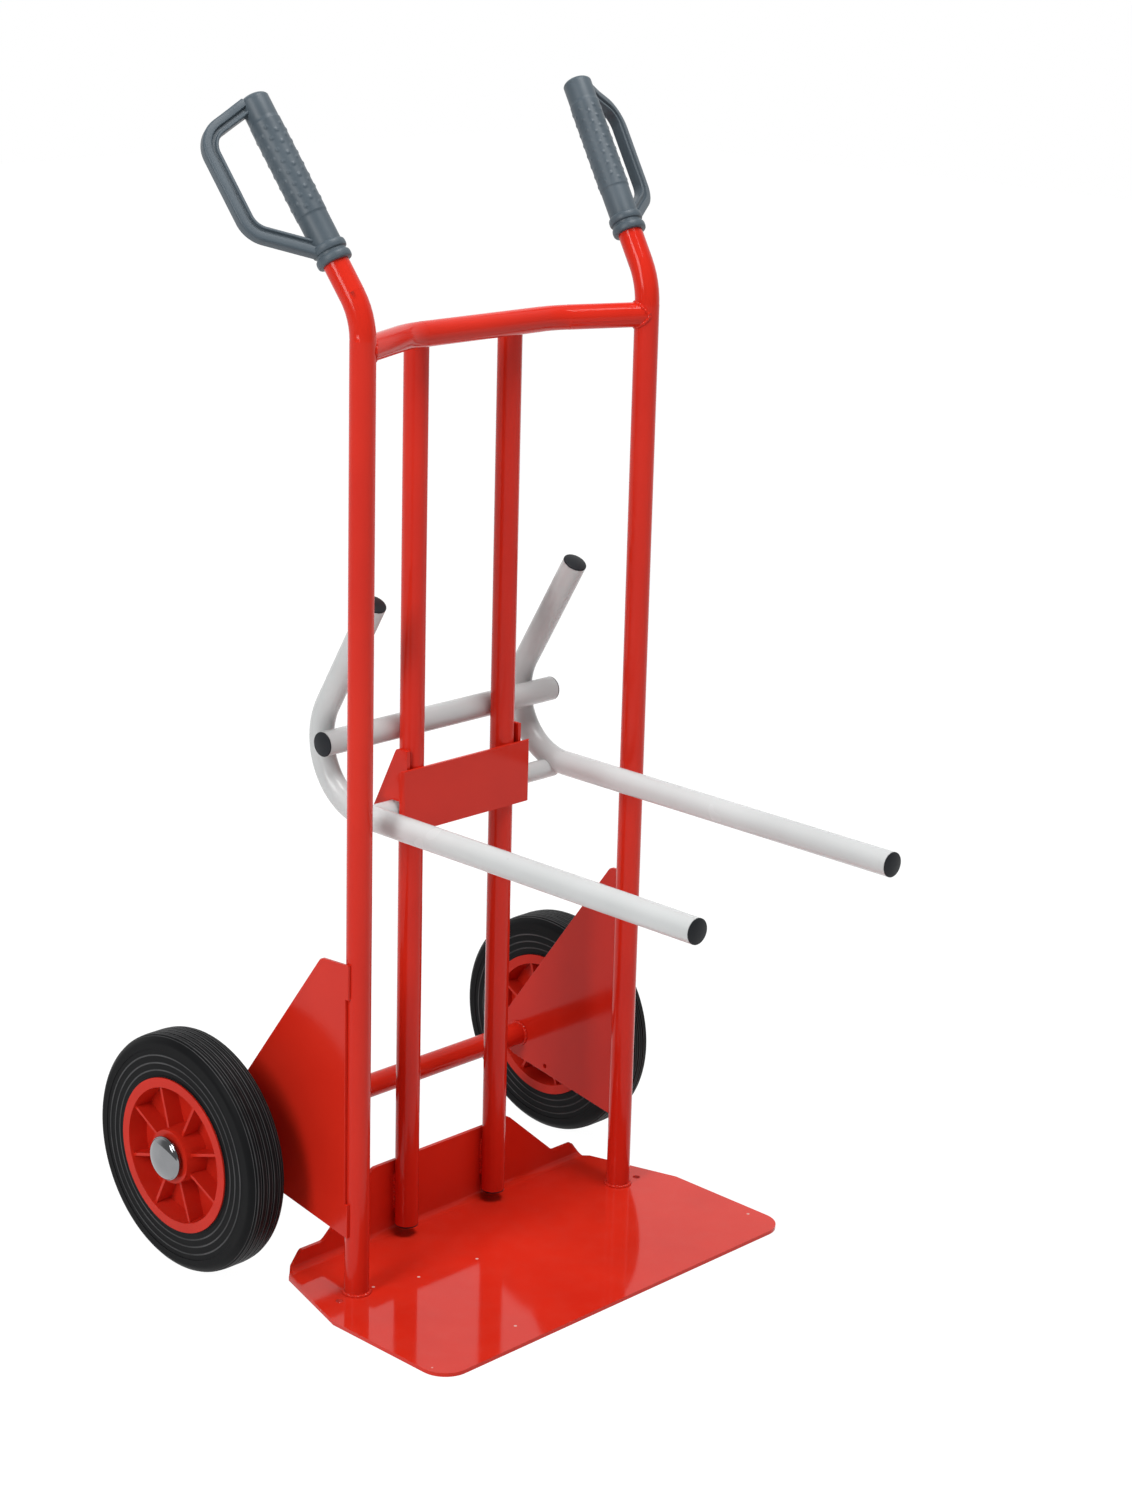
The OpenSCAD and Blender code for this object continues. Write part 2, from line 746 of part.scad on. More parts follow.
// Folded sheet: a front plate on the posts with a cheek turned back at each end
module cross_plate() {
    front = post_front - bracket_t;
    rear = post_front + cheek_depth;
    low = pivot_z - bracket_drop;
    high = pivot_z + bracket_rise;
    notch_y = pivot.x - sleeve_r - sleeve_room;
    notch_z = pivot.y + sleeve_r + sleeve_room;
    inner_r = bracket_fold_r - bracket_t;
    color(red)
    intersection() {
        translate([0, 0, low]) linear_extrude(high - low)
        difference() {
            rounded([[-bracket_half, front, bracket_fold_r], [bracket_half, front, bracket_fold_r],
                [bracket_half, rear, 0], [-bracket_half, rear, 0]]);
            rounded([[bracket_t - bracket_half, post_front, inner_r],
                [bracket_half - bracket_t, post_front, inner_r],
                [bracket_half - bracket_t, rear + cut, 0], [bracket_t - bracket_half, rear + cut, 0]]);
        }
        side_sheet(-bracket_half - cut, 2 * (bracket_half + cut))
            polygon([[front - cut, low], [notch_y, low], [notch_y, notch_z], [rear, notch_z],
                [post_front, high], [front - cut, high]]);
    }
}

module pivot_gusset(side) {
    front = post_front + gusset_gap;
    low = pivot.y - bracket_drop;
    high = pivot.y + gusset_rise;
    color(red) on(side)
    difference() {
        side_sheet(gusset_in, gusset_t)
            rounded([[front, low, 0], [pivot.x + gusset_foot, low, gusset_corner_r],
                [pivot.x + gusset_depth, low + gusset_heel, gusset_corner_r],
                [pivot.x + gusset_top, high, gusset_corner_r], [front, high, 0]]);
        bar_x(pivot, gusset_in - cut, gusset_t + 2 * cut, pivot_d + 2 * seat_gap);
    }
}

module pivot_bolt(side) {
    under_head = post_x - tube_r;
    color(steel) on(side) {
        bar_x(pivot, under_head, bolt_tip - under_head, pivot_d);
        translate([under_head - bolt_head_t, pivot.x, pivot.y]) rotate([0, 90, 0])
            cylinder(d = bolt_head_d, h = bolt_head_t, $fn = 6);
    }
}

module fork_tube(side) {
    color(light_grey) on(side) bent_tube(fork_path, loop_r);
}

module fork_cross_tube() {
    color(light_grey) translate([-cross_half, cross_y, loop_z]) rotate([0, 90, 0])
        straight_tube(2 * cross_half, tube_d, bore_d);
}

// Sleeve on the pivot bolt, coped to the side of the arm that it is welded to
module pivot_sleeve(side) {
    start = gusset_out + end_play;
    color(light_grey) on(side)
    difference() {
        bar_x(pivot, start, fork_x - start, 2 * sleeve_r);
        bar_x(pivot, start - cut, fork_x - start + 2 * cut, pivot_d + 2 * run_gap);
        bent_bar(fork_path, loop_r);
    }
}

module arm_plugs() {
    color(black)
    for (side = [left, right])
        on(side) point_along(arm_tip, [0, -1, 0]) plug();
}

module leg_plugs() {
    color(black)
    for (side = [left, right])
        on(side) point_along(leg_top, leg_dir) plug();
}

module cross_tube_plugs() {
    color(black)
    for (side = [left, right])
        on(side) translate([cross_half, cross_y, loop_z]) rotate([0, 90, 0]) plug();
}

toe_plate();
upright(left);  // left_upright
upright(right);  // right_upright
inner_post(left);  // left_inner_post
inner_post(right);  // right_inner_post
post_plugs();
top_crossbar();
grip(left);  // left_grip
grip(right);  // right_grip
wheel_plate(left);  // left_wheel_plate
wheel_plate(right);  // right_wheel_plate
axle_tube();
axle_rod();
axle_spacer(left);  // left_axle_spacer
axle_spacer(right);  // right_axle_spacer
axle_washer(left);  // left_axle_washer
axle_washer(right);  // right_axle_washer
axle_cap(left);  // left_axle_cap
axle_cap(right);  // right_axle_cap
cross_plate();
pivot_gusset(left);  // left_pivot_gusset
pivot_gusset(right);  // right_pivot_gusset
pivot_bolt(left);  // left_pivot_bolt
pivot_bolt(right);  // right_pivot_bolt
tyre(left);  // left_tyre
tyre(right);  // right_tyre
rim(left);  // left_rim
rim(right);  // right_rim
hub_bushes(left);  // left_hub_bushes
hub_bushes(right);  // right_hub_bushes
fork_tube(left);  // left_fork_tube
fork_tube(right);  // right_fork_tube
fork_cross_tube();
pivot_sleeve(left);  // left_pivot_sleeve
pivot_sleeve(right);  // right_pivot_sleeve
arm_plugs();
leg_plugs();
cross_tube_plugs();
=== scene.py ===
import math

import bmesh
import bpy
import numpy as np
from mathutils import Matrix, Vector


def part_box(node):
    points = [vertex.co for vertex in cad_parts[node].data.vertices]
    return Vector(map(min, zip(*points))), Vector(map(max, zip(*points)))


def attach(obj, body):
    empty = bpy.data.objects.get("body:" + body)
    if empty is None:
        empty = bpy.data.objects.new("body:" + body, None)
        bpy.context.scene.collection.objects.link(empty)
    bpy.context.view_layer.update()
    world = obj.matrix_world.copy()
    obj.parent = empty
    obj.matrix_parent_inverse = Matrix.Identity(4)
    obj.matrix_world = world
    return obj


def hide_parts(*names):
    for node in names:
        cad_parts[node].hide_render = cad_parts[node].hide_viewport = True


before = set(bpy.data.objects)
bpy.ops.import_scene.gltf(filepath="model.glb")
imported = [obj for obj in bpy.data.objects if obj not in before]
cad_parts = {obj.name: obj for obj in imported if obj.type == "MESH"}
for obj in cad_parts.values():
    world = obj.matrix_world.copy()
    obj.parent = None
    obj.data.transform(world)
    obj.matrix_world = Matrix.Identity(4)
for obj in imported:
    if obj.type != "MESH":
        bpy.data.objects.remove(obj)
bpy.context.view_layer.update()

MM = 0.001
TURN = 2.0 * math.pi
SIDES = {"left": -1, "right": 1}


def box_mm(node):
    """Lowest corner and middle of a solid's box, in millimetres to the nearest tenth."""
    low, high = (np.array(corner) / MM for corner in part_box(node))
    return np.round(low, 1), np.round((low + high) / 2.0, 1)


# Places read from the right-hand solids, in millimetres like the sizes of all pieces below
WHEEL_X, AXLE_Y, AXLE_Z = box_mm("right_tyre")[1]
POST_X, POST_Y = box_mm("right_inner_post")[1][:2]
CROSSBAR_Z = box_mm("top_crossbar")[1][2]
FORK_X = box_mm("right_fork_tube")[1][0]
CROSS_Y, LOOP_Z = box_mm("fork_cross_tube")[1][1:]
CAP_X = box_mm("right_axle_cap")[0][0]
SIDE_IN = box_mm("right_wheel_plate")[0][0]

# Sizes shared with the solids
TUBE_R = 12.5
UPRIGHT_X = 190.5
PLATE_T = 4.0
HANDLE_BEND_Z = 985.0
HANDLE_LEAN = math.radians(35.0)
HANDLE_SPLAY = math.radians(9.9)
GRIP_START = 55.0
GUARD_TURN = math.radians(18.0)


def unit(v):
    """The vector divided by its length."""
    v = np.asarray(v, float)
    return v / np.linalg.norm(v, axis=-1, keepdims=True)


def smooth(t):
    """Eased step: 3 t squared less 2 t cubed, with t held between 0 and 1."""
    t = np.clip(t, 0.0, 1.0)
    return t * t * (3.0 - 2.0 * t)


# Directions of the right-hand handle and its guard
HANDLE_DIR = np.array([
    math.sin(HANDLE_LEAN) * math.sin(HANDLE_SPLAY),
    math.sin(HANDLE_LEAN) * math.cos(HANDLE_SPLAY),
    math.cos(HANDLE_LEAN),
])
GRIP_FOOT = np.array([UPRIGHT_X, 0.0, HANDLE_BEND_Z]) + GRIP_START * HANDLE_DIR
OUTWARD = unit(np.array([1.0, 0.0, 0.0]) - HANDLE_DIR[0] * HANDLE_DIR)
GUARD_DIR = math.cos(GUARD_TURN) * OUTWARD + math.sin(GUARD_TURN) * np.cross(HANDLE_DIR, OUTWARD)
GUARD_SIDE = np.cross(HANDLE_DIR, GUARD_DIR)


# Meshes from grids of points


def grid_faces(rows, cols, close_rows, close_cols):
    """Quads between neighbouring rows and columns of a grid of points, joined round where asked."""
    r = np.arange(rows if close_rows else rows - 1)
    c = np.arange(cols if close_cols else cols - 1)
    r, c = np.meshgrid(r, c, indexing="ij")
    r_next = (r + 1) % rows
    c_next = (c + 1) % cols
    corners = [r * cols + c, r * cols + c_next, r_next * cols + c_next, r_next * cols + c]
    return np.stack(corners, axis=-1).reshape(-1, 4)


def patch(points, close_rows=False, close_cols=False, capped=False):
    """A grid of points in millimetres as (points, faces), with its end rows filled in where asked."""
    rows, cols = points.shape[:2]
    faces = grid_faces(rows, cols, close_rows, close_cols).tolist()
    if capped:
        faces.append(np.arange(cols).tolist())
        faces.append((np.arange(cols)[::-1] + (rows - 1) * cols).tolist())
    return points.reshape(-1, 3), faces


def mirrored(part, side):
    """The same patch on the given side: X takes the side's sign."""
    points, faces = part
    return points * np.array([side, 1.0, 1.0]), faces


# Points closer than this are merged, in metres
POINT_MERGE = 2e-6
COPY_MERGE = 2e-5
FLAT_ANGLE = math.radians(0.6)


def shade(mesh, sharp_deg):
    """Smooth shading, with edges sharper than the given angle left crisp."""
    mesh.shade_smooth()
    mesh.set_sharp_from_angle(angle=math.radians(sharp_deg))


def finish_piece(name, mesh, body, material, nodes=()):
    """Makes the mesh an object at the origin that rides on its body and stands for the named solids."""
    mesh.materials.append(material)
    obj = bpy.data.objects.new(name, mesh)
    bpy.context.scene.collection.objects.link(obj)
    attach(obj, body)
    if nodes:
        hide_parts(*nodes)
    return obj


def piece(name, parts, body, material, nodes=(), sharp_deg=60.0, ridges=None):
    """One object from several patches: doubles merged, faces turned outwards. ridges says how strongly the
    painted ridge highlight shows at each point."""
    points = np.concatenate([p for p, f in parts])
    starts = np.cumsum([0] + [len(p) for p, f in parts[:-1]])
    faces = [[i + int(s) for i in face] for (p, f), s in zip(parts, starts) for face in f]
    mesh = bpy.data.meshes.new(name)
    mesh.from_pydata((points * MM).tolist(), [], faces)
    if ridges is not None:
        highlight_share = mesh.attributes.new("painted_ridge_highlight", "FLOAT", "POINT")
        highlight_share.data.foreach_set("value", ridges.astype(np.float32))
    work = bmesh.new()
    work.from_mesh(mesh)
    bmesh.ops.remove_doubles(work, verts=work.verts, dist=POINT_MERGE)
    bmesh.ops.recalc_face_normals(work, faces=work.faces)
    work.to_mesh(mesh)
    work.free()
    shade(mesh, sharp_deg)
    return finish_piece(name, mesh, body, material, nodes)


COPY_SHARP_DEG = 32.0


def copied(name, node, body, slot, material, eased=0.0, segments=2):
    """A merged copy of a solid, shaded smooth along its bends and round its tubes, whose sharp edges are
    rounded by a Bevel of the eased width where it has one."""
    work = bmesh.new()
    work.from_mesh(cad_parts[node].data)
    bmesh.ops.remove_doubles(work, verts=work.verts, dist=COPY_MERGE)
    bmesh.ops.dissolve_limit(work, angle_limit=FLAT_ANGLE, verts=work.verts, edges=work.edges)
    mesh = bpy.data.meshes.new(name)
    work.to_mesh(mesh)
    work.free()
    shade(mesh, COPY_SHARP_DEG)
    obj = finish_piece(name, mesh, body, material, [node])
    if eased:
        bevel = obj.modifiers.new("eased_edges", "BEVEL")
        bevel.width = eased * MM
        bevel.segments = segments
        bevel.limit_method = "ANGLE"
        bevel.angle_limit = math.radians(COPY_SHARP_DEG)
        bevel.harden_normals = True


# Profiles and paths


def rounded_loop(corners, radii, steps):
    """Closed outline whose corners become arcs touching both edges, with steps + 1 points to each arc."""
    corners = np.asarray(corners, float)
    back = unit(np.roll(corners, 1, axis=0) - corners)
    ahead = unit(np.roll(corners, -1, axis=0) - corners)
    half = np.arccos(np.clip((back * ahead).sum(1), -1.0, 1.0)) / 2.0
    radii = np.asarray(radii, float)
    trim = radii / np.tan(half)
    middle = corners + (radii / np.sin(half))[:, None] * unit(back + ahead)
    start = corners + trim[:, None] * back - middle
    end = corners + trim[:, None] * ahead - middle
    first = np.arctan2(start[:, 1], start[:, 0])
    turn = np.arctan2(end[:, 1], end[:, 0]) - first
    turn = (turn + math.pi) % TURN - math.pi
    angle = first[:, None] + turn[:, None] * np.linspace(0.0, 1.0, steps + 1)
    arcs = middle[:, None, :] + radii[:, None, None] * np.stack([np.cos(angle), np.sin(angle)], axis=-1)
    return arcs.reshape(-1, 2)


def bent_path(corners, radius, steps):
    """Line through the corners with an arc of the given radius in each inner corner, as points and
    directions."""
    legs = unit(np.diff(corners, axis=0))
    points = [corners[:1]]
    directions = [legs[:1]]
    for i in range(1, len(corners) - 1):
        turn = math.acos(float(legs[i - 1] @ legs[i]))
        inward = unit(legs[i] - legs[i - 1])
        middle = corners[i] + radius / math.cos(turn / 2.0) * inward
        axis = unit(np.cross(legs[i - 1], legs[i]))
        reach = corners[i] - radius * math.tan(turn / 2.0) * legs[i - 1] - middle
        a = (turn * np.linspace(0.0, 1.0, steps + 1))[:, None]
        points.append(middle + np.cos(a) * reach + np.sin(a) * np.cross(axis, reach))
        directions.append(np.cos(a) * legs[i - 1] + np.sin(a) * np.cross(axis, legs[i - 1]))
    points.append(corners[-1:])
    directions.append(legs[-1:])
    return np.concatenate(points), np.concatenate(directions)


def carried(profile, points, directions, across, heights):
    """Profile (p, q) carried along a path in a plane: point + p times (across x direction) + q times the
    height there times across."""
    sideways = np.cross(across, directions)
    p = profile[None, :, 0, None] * sideways[:, None, :]
    q = (profile[None, :, 1] * heights[:, None])[..., None] * across
    return points[:, None, :] + p + q


def turned(profile, steps, centre, axis, first, second, swell=None):
    """Profile (radius, height) turned round an axis: centre + height along it + radius round it.
    swell adds to the radius at each (angle, profile point)."""
    angle = np.linspace(0.0, TURN, steps, endpoint=False)
    radius = np.broadcast_to(profile[None, :, 0], (steps, len(profile)))
    if swell is not None:
        radius = radius + swell(angle[:, None], profile[None, :, 1])
    ring = np.cos(angle)[:, None] * first + np.sin(angle)[:, None] * second
    return centre + profile[None, :, 1, None] * axis + radius[..., None] * ring[:, None, :]


def along_x(profile, steps, x):
    """Profile (radius, x offset) turned round the axle's line, from a place x on it."""
    along, back, up = np.eye(3)
    return turned(profile, steps, np.array([x, AXLE_Y, AXLE_Z]), along, back, up)


# Shader groups and materials


def feed(tree, socket, value):
    """Links a socket from another one, or gives it a plain value."""
    if isinstance(value, bpy.types.NodeSocket):
        tree.links.new(value, socket)
    else:
        socket.default_value = value


def put(tree, kind, **values):
    """A node of the given kind, with plain values or sockets on its named inputs."""
    node = tree.nodes.new(kind)
    for label, value in values.items():
        feed(tree, node.inputs[label], value)
    return node


def worked(tree, operation, *terms):
    """Output of a Math node on its terms, each a number or a socket."""
    node = tree.nodes.new("ShaderNodeMath")
    node.operation = operation
    for socket, term in zip(node.inputs, terms):
        feed(tree, socket, term)
    return node.outputs[0]


def product(tree, first, *others):
    """Output of one or more Math nodes that multiply all the terms."""
    for other in others:
        first = worked(tree, "MULTIPLY", first, other)
    return first


def ranged(tree, value, low, high, to_low=0.0, to_high=1.0):
    """Output of a Map Range node: the value taken from low..high to to_low..to_high, and held there."""
    node = tree.nodes.new("ShaderNodeMapRange")
    for socket, term in zip(node.inputs, (value, low, high, to_low, to_high)):
        feed(tree, socket, term)
    return node.outputs[0]


def noise(tree, place, scale, detail, rough=0.5):
    """Output of a noise texture on the given coordinates."""
    node = put(tree, "ShaderNodeTexNoise", Vector=place, Scale=scale, Detail=detail, Roughness=rough)
    return node.outputs[0]


def height_of(tree, place):
    """Z of the coordinates."""
    node = tree.nodes.new("ShaderNodeSeparateXYZ")
    tree.links.new(place, node.inputs[0])
    return node.outputs["Z"]


def new_group(name, outputs, **inputs):
    """A shader node group on coordinates, with the named numbers as inputs: its tree, what it is given
    and what it puts out."""
    tree = bpy.data.node_groups.new(name, "ShaderNodeTree")
    tree.interface.new_socket(name="Vector", in_out="INPUT", socket_type="NodeSocketVector")
    for label, value in inputs.items():
        label = label.replace("_", " ")
        socket = tree.interface.new_socket(name=label, in_out="INPUT", socket_type="NodeSocketFloat")
        socket.default_value = value
    for label in outputs:
        tree.interface.new_socket(name=label, in_out="OUTPUT", socket_type="NodeSocketFloat")
    return tree, tree.nodes.new("NodeGroupInput").outputs, tree.nodes.new("NodeGroupOutput").inputs


def make_coat_ripple():
    """Orange peel of a sprayed coat: a fine noise for height, a coarse one for the tone's drift."""
    tree, given, out = new_group("coat_ripple", ["Height", "Drift"], Ripple_Scale=400.0, Drift_Scale=9.0)
    fine = noise(tree, given["Vector"], given["Ripple Scale"], detail=2.0)
    coarse = noise(tree, given["Vector"], given["Drift Scale"], detail=3.0)
    feed(tree, out["Height"], fine)
    feed(tree, out["Drift"], ranged(tree, coarse, low=0.32, high=0.68))
    return tree


def make_scuffs():
    """Fine scuffs: a noise stretched along one way, kept only at its peaks and broken by a coarse noise."""
    tree, given, out = new_group("fine_scuffs", ["Mask"], Scale=90.0, Amount=0.5)
    stretch = put(tree, "ShaderNodeMapping", Vector=given["Vector"],
                  Scale=(1.0, 0.06, 0.35), Rotation=(0.3, 0.5, 0.7)).outputs[0]
    lines = noise(tree, stretch, given["Scale"], detail=4.0, rough=0.6)
    areas = noise(tree, given["Vector"], 14.0, detail=2.0)
    peaks = ranged(tree, lines, low=0.66, high=0.74)
    zones = ranged(tree, areas, low=0.5, high=0.68)
    feed(tree, out["Mask"], product(tree, peaks, zones, given["Amount"]))
    return tree


def make_ground_dust():
    """Dust that fades upwards from the ground: a falling ramp of height times a broken noise."""
    tree, given, out = new_group("ground_dust", ["Mask"], Top=0.3, Amount=0.4, Scale=60.0)
    falling = ranged(tree, height_of(tree, given["Vector"]), 0.0, given["Top"], 1.0, 0.0)
    specks = noise(tree, given["Vector"], given["Scale"], detail=5.0, rough=0.65)
    broken = ranged(tree, specks, low=0.42, high=0.72)
    feed(tree, out["Mask"], product(tree, falling, broken, given["Amount"]))
    return tree


def make_moulded_grain():
    """Grain of a moulded skin: small cells roughened by a noise, and a blotched tone."""
    tree, given, out = new_group("moulded_grain", ["Height", "Tone"], Scale=900.0)
    cells = put(tree, "ShaderNodeTexVoronoi", Vector=given["Vector"], Scale=given["Scale"])
    rough = noise(tree, given["Vector"], given["Scale"], detail=3.0)
    blotch = noise(tree, given["Vector"], 22.0, detail=3.0)
    feed(tree, out["Height"], worked(tree, "MULTIPLY_ADD", cells.outputs["Distance"], 0.5, rough))
    feed(tree, out["Tone"], ranged(tree, blotch, low=0.3, high=0.7))
    return tree


def make_paint_chips():
    """Tiny chips: the cores of a few cells of a cell pattern, picked by each cell's own number, below a
    given height."""
    tree, given, out = new_group("paint_chips", ["Mask"], Scale=40.0, Amount=0.6, Top=1.0)
    cells = put(tree, "ShaderNodeTexVoronoi", Vector=given["Vector"], Scale=given["Scale"])
    number = tree.nodes.new("ShaderNodeSeparateColor")
    tree.links.new(cells.outputs["Color"], number.inputs[0])
    core = ranged(tree, cells.outputs["Distance"], 0.055, 0.08, 1.0, 0.0)
    picked = ranged(tree, number.outputs[0], low=0.70, high=0.71)
    below = worked(tree, "LESS_THAN", height_of(tree, given["Vector"]), given["Top"])
    feed(tree, out["Mask"], product(tree, core, picked, below, given["Amount"]))
    return tree


COAT_RIPPLE = make_coat_ripple()
PAINT_CHIPS = make_paint_chips()
SCUFFS = make_scuffs()
GROUND_DUST = make_ground_dust()
MOULDED_GRAIN = make_moulded_grain()


def use_group(tree, group, place, **values):
    """Outputs of the group, placed in a material on the given coordinates with its own values."""
    node = tree.nodes.new("ShaderNodeGroup")
    node.node_tree = group
    feed(tree, node.inputs["Vector"], place)
    for label, value in values.items():
        feed(tree, node.inputs[label.replace("_", " ")], value)
    return node.outputs


def mixed(tree, mask, low, high):
    """Colour that goes from low to high by the mask; each may be a colour or a socket."""
    node = tree.nodes.new("ShaderNodeMix")
    node.data_type = "RGBA"
    feed(tree, node.inputs["Factor"], mask)
    for socket, value in ((node.inputs[6], low), (node.inputs[7], high)):
        feed(tree, socket, (*value, 1.0) if isinstance(value, tuple) else value)
    return node.outputs[2]


def new_material(name, **plain):
    """A material with one Principled BSDF and plain values on its sockets."""
    material = bpy.data.materials.new(name)
    material.use_nodes = True
    tree = material.node_tree
    shader = tree.nodes["Principled BSDF"]
    for label, value in plain.items():
        shader.inputs[label.replace("_", " ")].default_value = value
    place = tree.nodes.new("ShaderNodeTexCoord").outputs["Object"]
    return material, tree, shader.inputs, place


def bumped(tree, height, depth, strength):
    """Normal of a surface whose grain has the given depth in metres."""
    return put(tree, "ShaderNodeBump", Height=height, Distance=depth, Strength=strength).outputs[0]


# Depths of grain are in metres
COAT_PEEL = 0.00003
COAT_PEEL_STRENGTH = 0.2
GRAIN_STRENGTH = 0.5
CHIP_DULLS = 0.5


def sprayed_coat(name, low, high, rough, ripple, dust, chips, **plain):
    """Sprayed coat: drifting tone and gloss, orange peel, tiny chips, and a little dust low down.
    dust is (top, amount, colour) and chips (top, amount, colour)."""
    material, tree, shader, place = new_material(name, **plain)
    coat = use_group(tree, COAT_RIPPLE, place, Ripple_Scale=ripple, Drift_Scale=7.0)
    film = use_group(tree, GROUND_DUST, place, Top=dust[0], Amount=dust[1], Scale=45.0)
    chipped = use_group(tree, PAINT_CHIPS, place, Scale=42.0, Top=chips[0], Amount=chips[1])
    tone = mixed(tree, coat["Drift"], low, high)
    tone = mixed(tree, film["Mask"], tone, dust[2])
    tone = mixed(tree, chipped["Mask"], tone, chips[2])
    gloss = ranged(tree, coat["Drift"], 0.0, 1.0, *rough)
    dulled = worked(tree, "MULTIPLY_ADD", chipped["Mask"], CHIP_DULLS, gloss)
    feed(tree, shader["Base Color"], tone)
    feed(tree, shader["Roughness"], dulled)
    feed(tree, shader["Normal"], bumped(tree, coat["Height"], COAT_PEEL, COAT_PEEL_STRENGTH))
    return material


def moulded_skin(name, low, high, rough, grain, depth, dust, ridge=None, **plain):
    """Moulded plastic or rubber: blotched tone, fine grain, and dust low down.
    dust is (top, amount, colour); ridge is the colour of the highlight painted along raised ridges, where
    the piece has them."""
    material, tree, shader, place = new_material(name, **plain)
    skin = use_group(tree, MOULDED_GRAIN, place, Scale=grain)
    film = use_group(tree, GROUND_DUST, place, Top=dust[0], Amount=dust[1], Scale=70.0)
    tone = mixed(tree, skin["Tone"], low, high)
    tone = mixed(tree, film["Mask"], tone, dust[2])
    # Painted highlight: the ridge colour is laid along the marked raised ridges, patchy by the grain's tone
    if ridge is not None:
        marked = tree.nodes.new("ShaderNodeAttribute")
        marked.attribute_name = "painted_ridge_highlight"
        patchy = ranged(tree, skin["Tone"], 0.0, 1.0, to_low=0.35)
        tone = mixed(tree, product(tree, marked.outputs["Fac"], patchy), tone, ridge)
    feed(tree, shader["Base Color"], tone)
    feed(tree, shader["Roughness"], ranged(tree, skin["Tone"], 0.0, 1.0, *rough))
    feed(tree, shader["Normal"], bumped(tree, skin["Height"], depth, GRAIN_STRENGTH))
    return material


def bright_metal(name, low, high, rough, ripple, scuffed):
    """Plated metal: a faint drift of tone, handling marks in the gloss, and a very fine ripple."""
    material, tree, shader, place = new_material(name, Metallic=1.0)
    coat = use_group(tree, COAT_RIPPLE, place, Ripple_Scale=ripple, Drift_Scale=40.0)
    marks = use_group(tree, SCUFFS, place, Scale=260.0, Amount=scuffed)
    gloss = ranged(tree, coat["Drift"], 0.0, 1.0, *rough)
    feed(tree, shader["Base Color"], mixed(tree, coat["Drift"], low, high))
    feed(tree, shader["Roughness"], worked(tree, "ADD", gloss, marks["Mask"]))
    feed(tree, shader["Normal"], bumped(tree, coat["Height"], COAT_PEEL, COAT_PEEL_STRENGTH))
    return material


RED_DUST = (0.05, 0.05, (0.50, 0.16, 0.12))
RED_CHIPS = (0.02, 0.8, (0.75, 0.55, 0.50))

FRAME_RED = sprayed_coat(
    "frame_red", low=(0.61, 0.020, 0.009), high=(0.68, 0.027, 0.012), rough=(0.12, 0.17), ripple=260.0,
    dust=RED_DUST, chips=RED_CHIPS, Specular_IOR_Level=0.18)
# The toe plate's copy of the frame paint: glossier, and a touch lighter in tone, which is painted light on
# its upward face
TOP_LIT_PLATE_RED = sprayed_coat(
    "top_lit_plate_red", low=(0.63, 0.021, 0.009), high=(0.71, 0.028, 0.012), rough=(0.055, 0.095), ripple=260.0,
    dust=RED_DUST, chips=RED_CHIPS, Specular_IOR_Level=0.20)
FORK_GREY = sprayed_coat(
    "fork_grey", low=(0.56, 0.575, 0.575), high=(0.62, 0.635, 0.635), rough=(0.20, 0.28), ripple=240.0,
    dust=(0.02, 0.0, (0.5, 0.5, 0.48)), chips=(2.0, 0.25, (0.30, 0.30, 0.30)), Specular_IOR_Level=0.3)
RIM_RED = moulded_skin(
    "rim_red", low=(0.56, 0.021, 0.010), high=(0.63, 0.026, 0.013), rough=(0.14, 0.20), grain=300.0,
    depth=0.000004, dust=(0.12, 0.06, (0.50, 0.20, 0.16)), Specular_IOR_Level=0.10)
GRIP_SLATE = moulded_skin(
    "grip_slate", low=(0.066, 0.087, 0.105), high=(0.083, 0.107, 0.127), rough=(0.38, 0.46), grain=420.0,
    depth=0.000001, dust=(0.05, 0.0, (0.2, 0.2, 0.2)), Specular_IOR_Level=0.28)
PLUG_BLACK = moulded_skin(
    "plug_black", low=(0.010, 0.012, 0.015), high=(0.018, 0.020, 0.024), rough=(0.30, 0.42), grain=500.0,
    depth=0.000004, dust=(0.06, 0.15, (0.12, 0.11, 0.10)), Specular_IOR_Level=0.15)
# ridge is a painted highlight: light grey along the tyre's raised rings and beside its grooves
TYRE_BLACK = moulded_skin(
    "tyre_black", low=(0.0045, 0.0048, 0.0055), high=(0.0075, 0.0078, 0.0086), rough=(0.46, 0.58),
    grain=300.0, depth=0.00001, dust=(0.28, 0.10, (0.030, 0.029, 0.027)), ridge=(0.120, 0.121, 0.124),
    Specular_IOR_Level=0.08)
AXLE_STEEL = bright_metal(
    "axle_steel", low=(0.50, 0.51, 0.52), high=(0.60, 0.61, 0.62), rough=(0.24, 0.36), ripple=400.0,
    scuffed=0.25)
CAP_CHROME = bright_metal(
    "cap_chrome", low=(0.23, 0.235, 0.245), high=(0.27, 0.275, 0.285), rough=(0.05, 0.09), ripple=200.0,
    scuffed=0.12)
BUSH_NYLON = moulded_skin(
    "bush_nylon", low=(0.66, 0.64, 0.58), high=(0.74, 0.72, 0.66), rough=(0.38, 0.50), grain=400.0,
    depth=0.000004, dust=(0.1, 0.1, (0.4, 0.38, 0.34)))

# Solids that show as they are
for node_name, node_finish in (
        ("axle_rod", AXLE_STEEL), ("left_hub_bushes", BUSH_NYLON), ("right_hub_bushes", BUSH_NYLON)):
    node_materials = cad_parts[node_name].data.materials
    node_materials.clear()
    node_materials.append(node_finish)


# Grips, in heights along the handle from the grip's foot

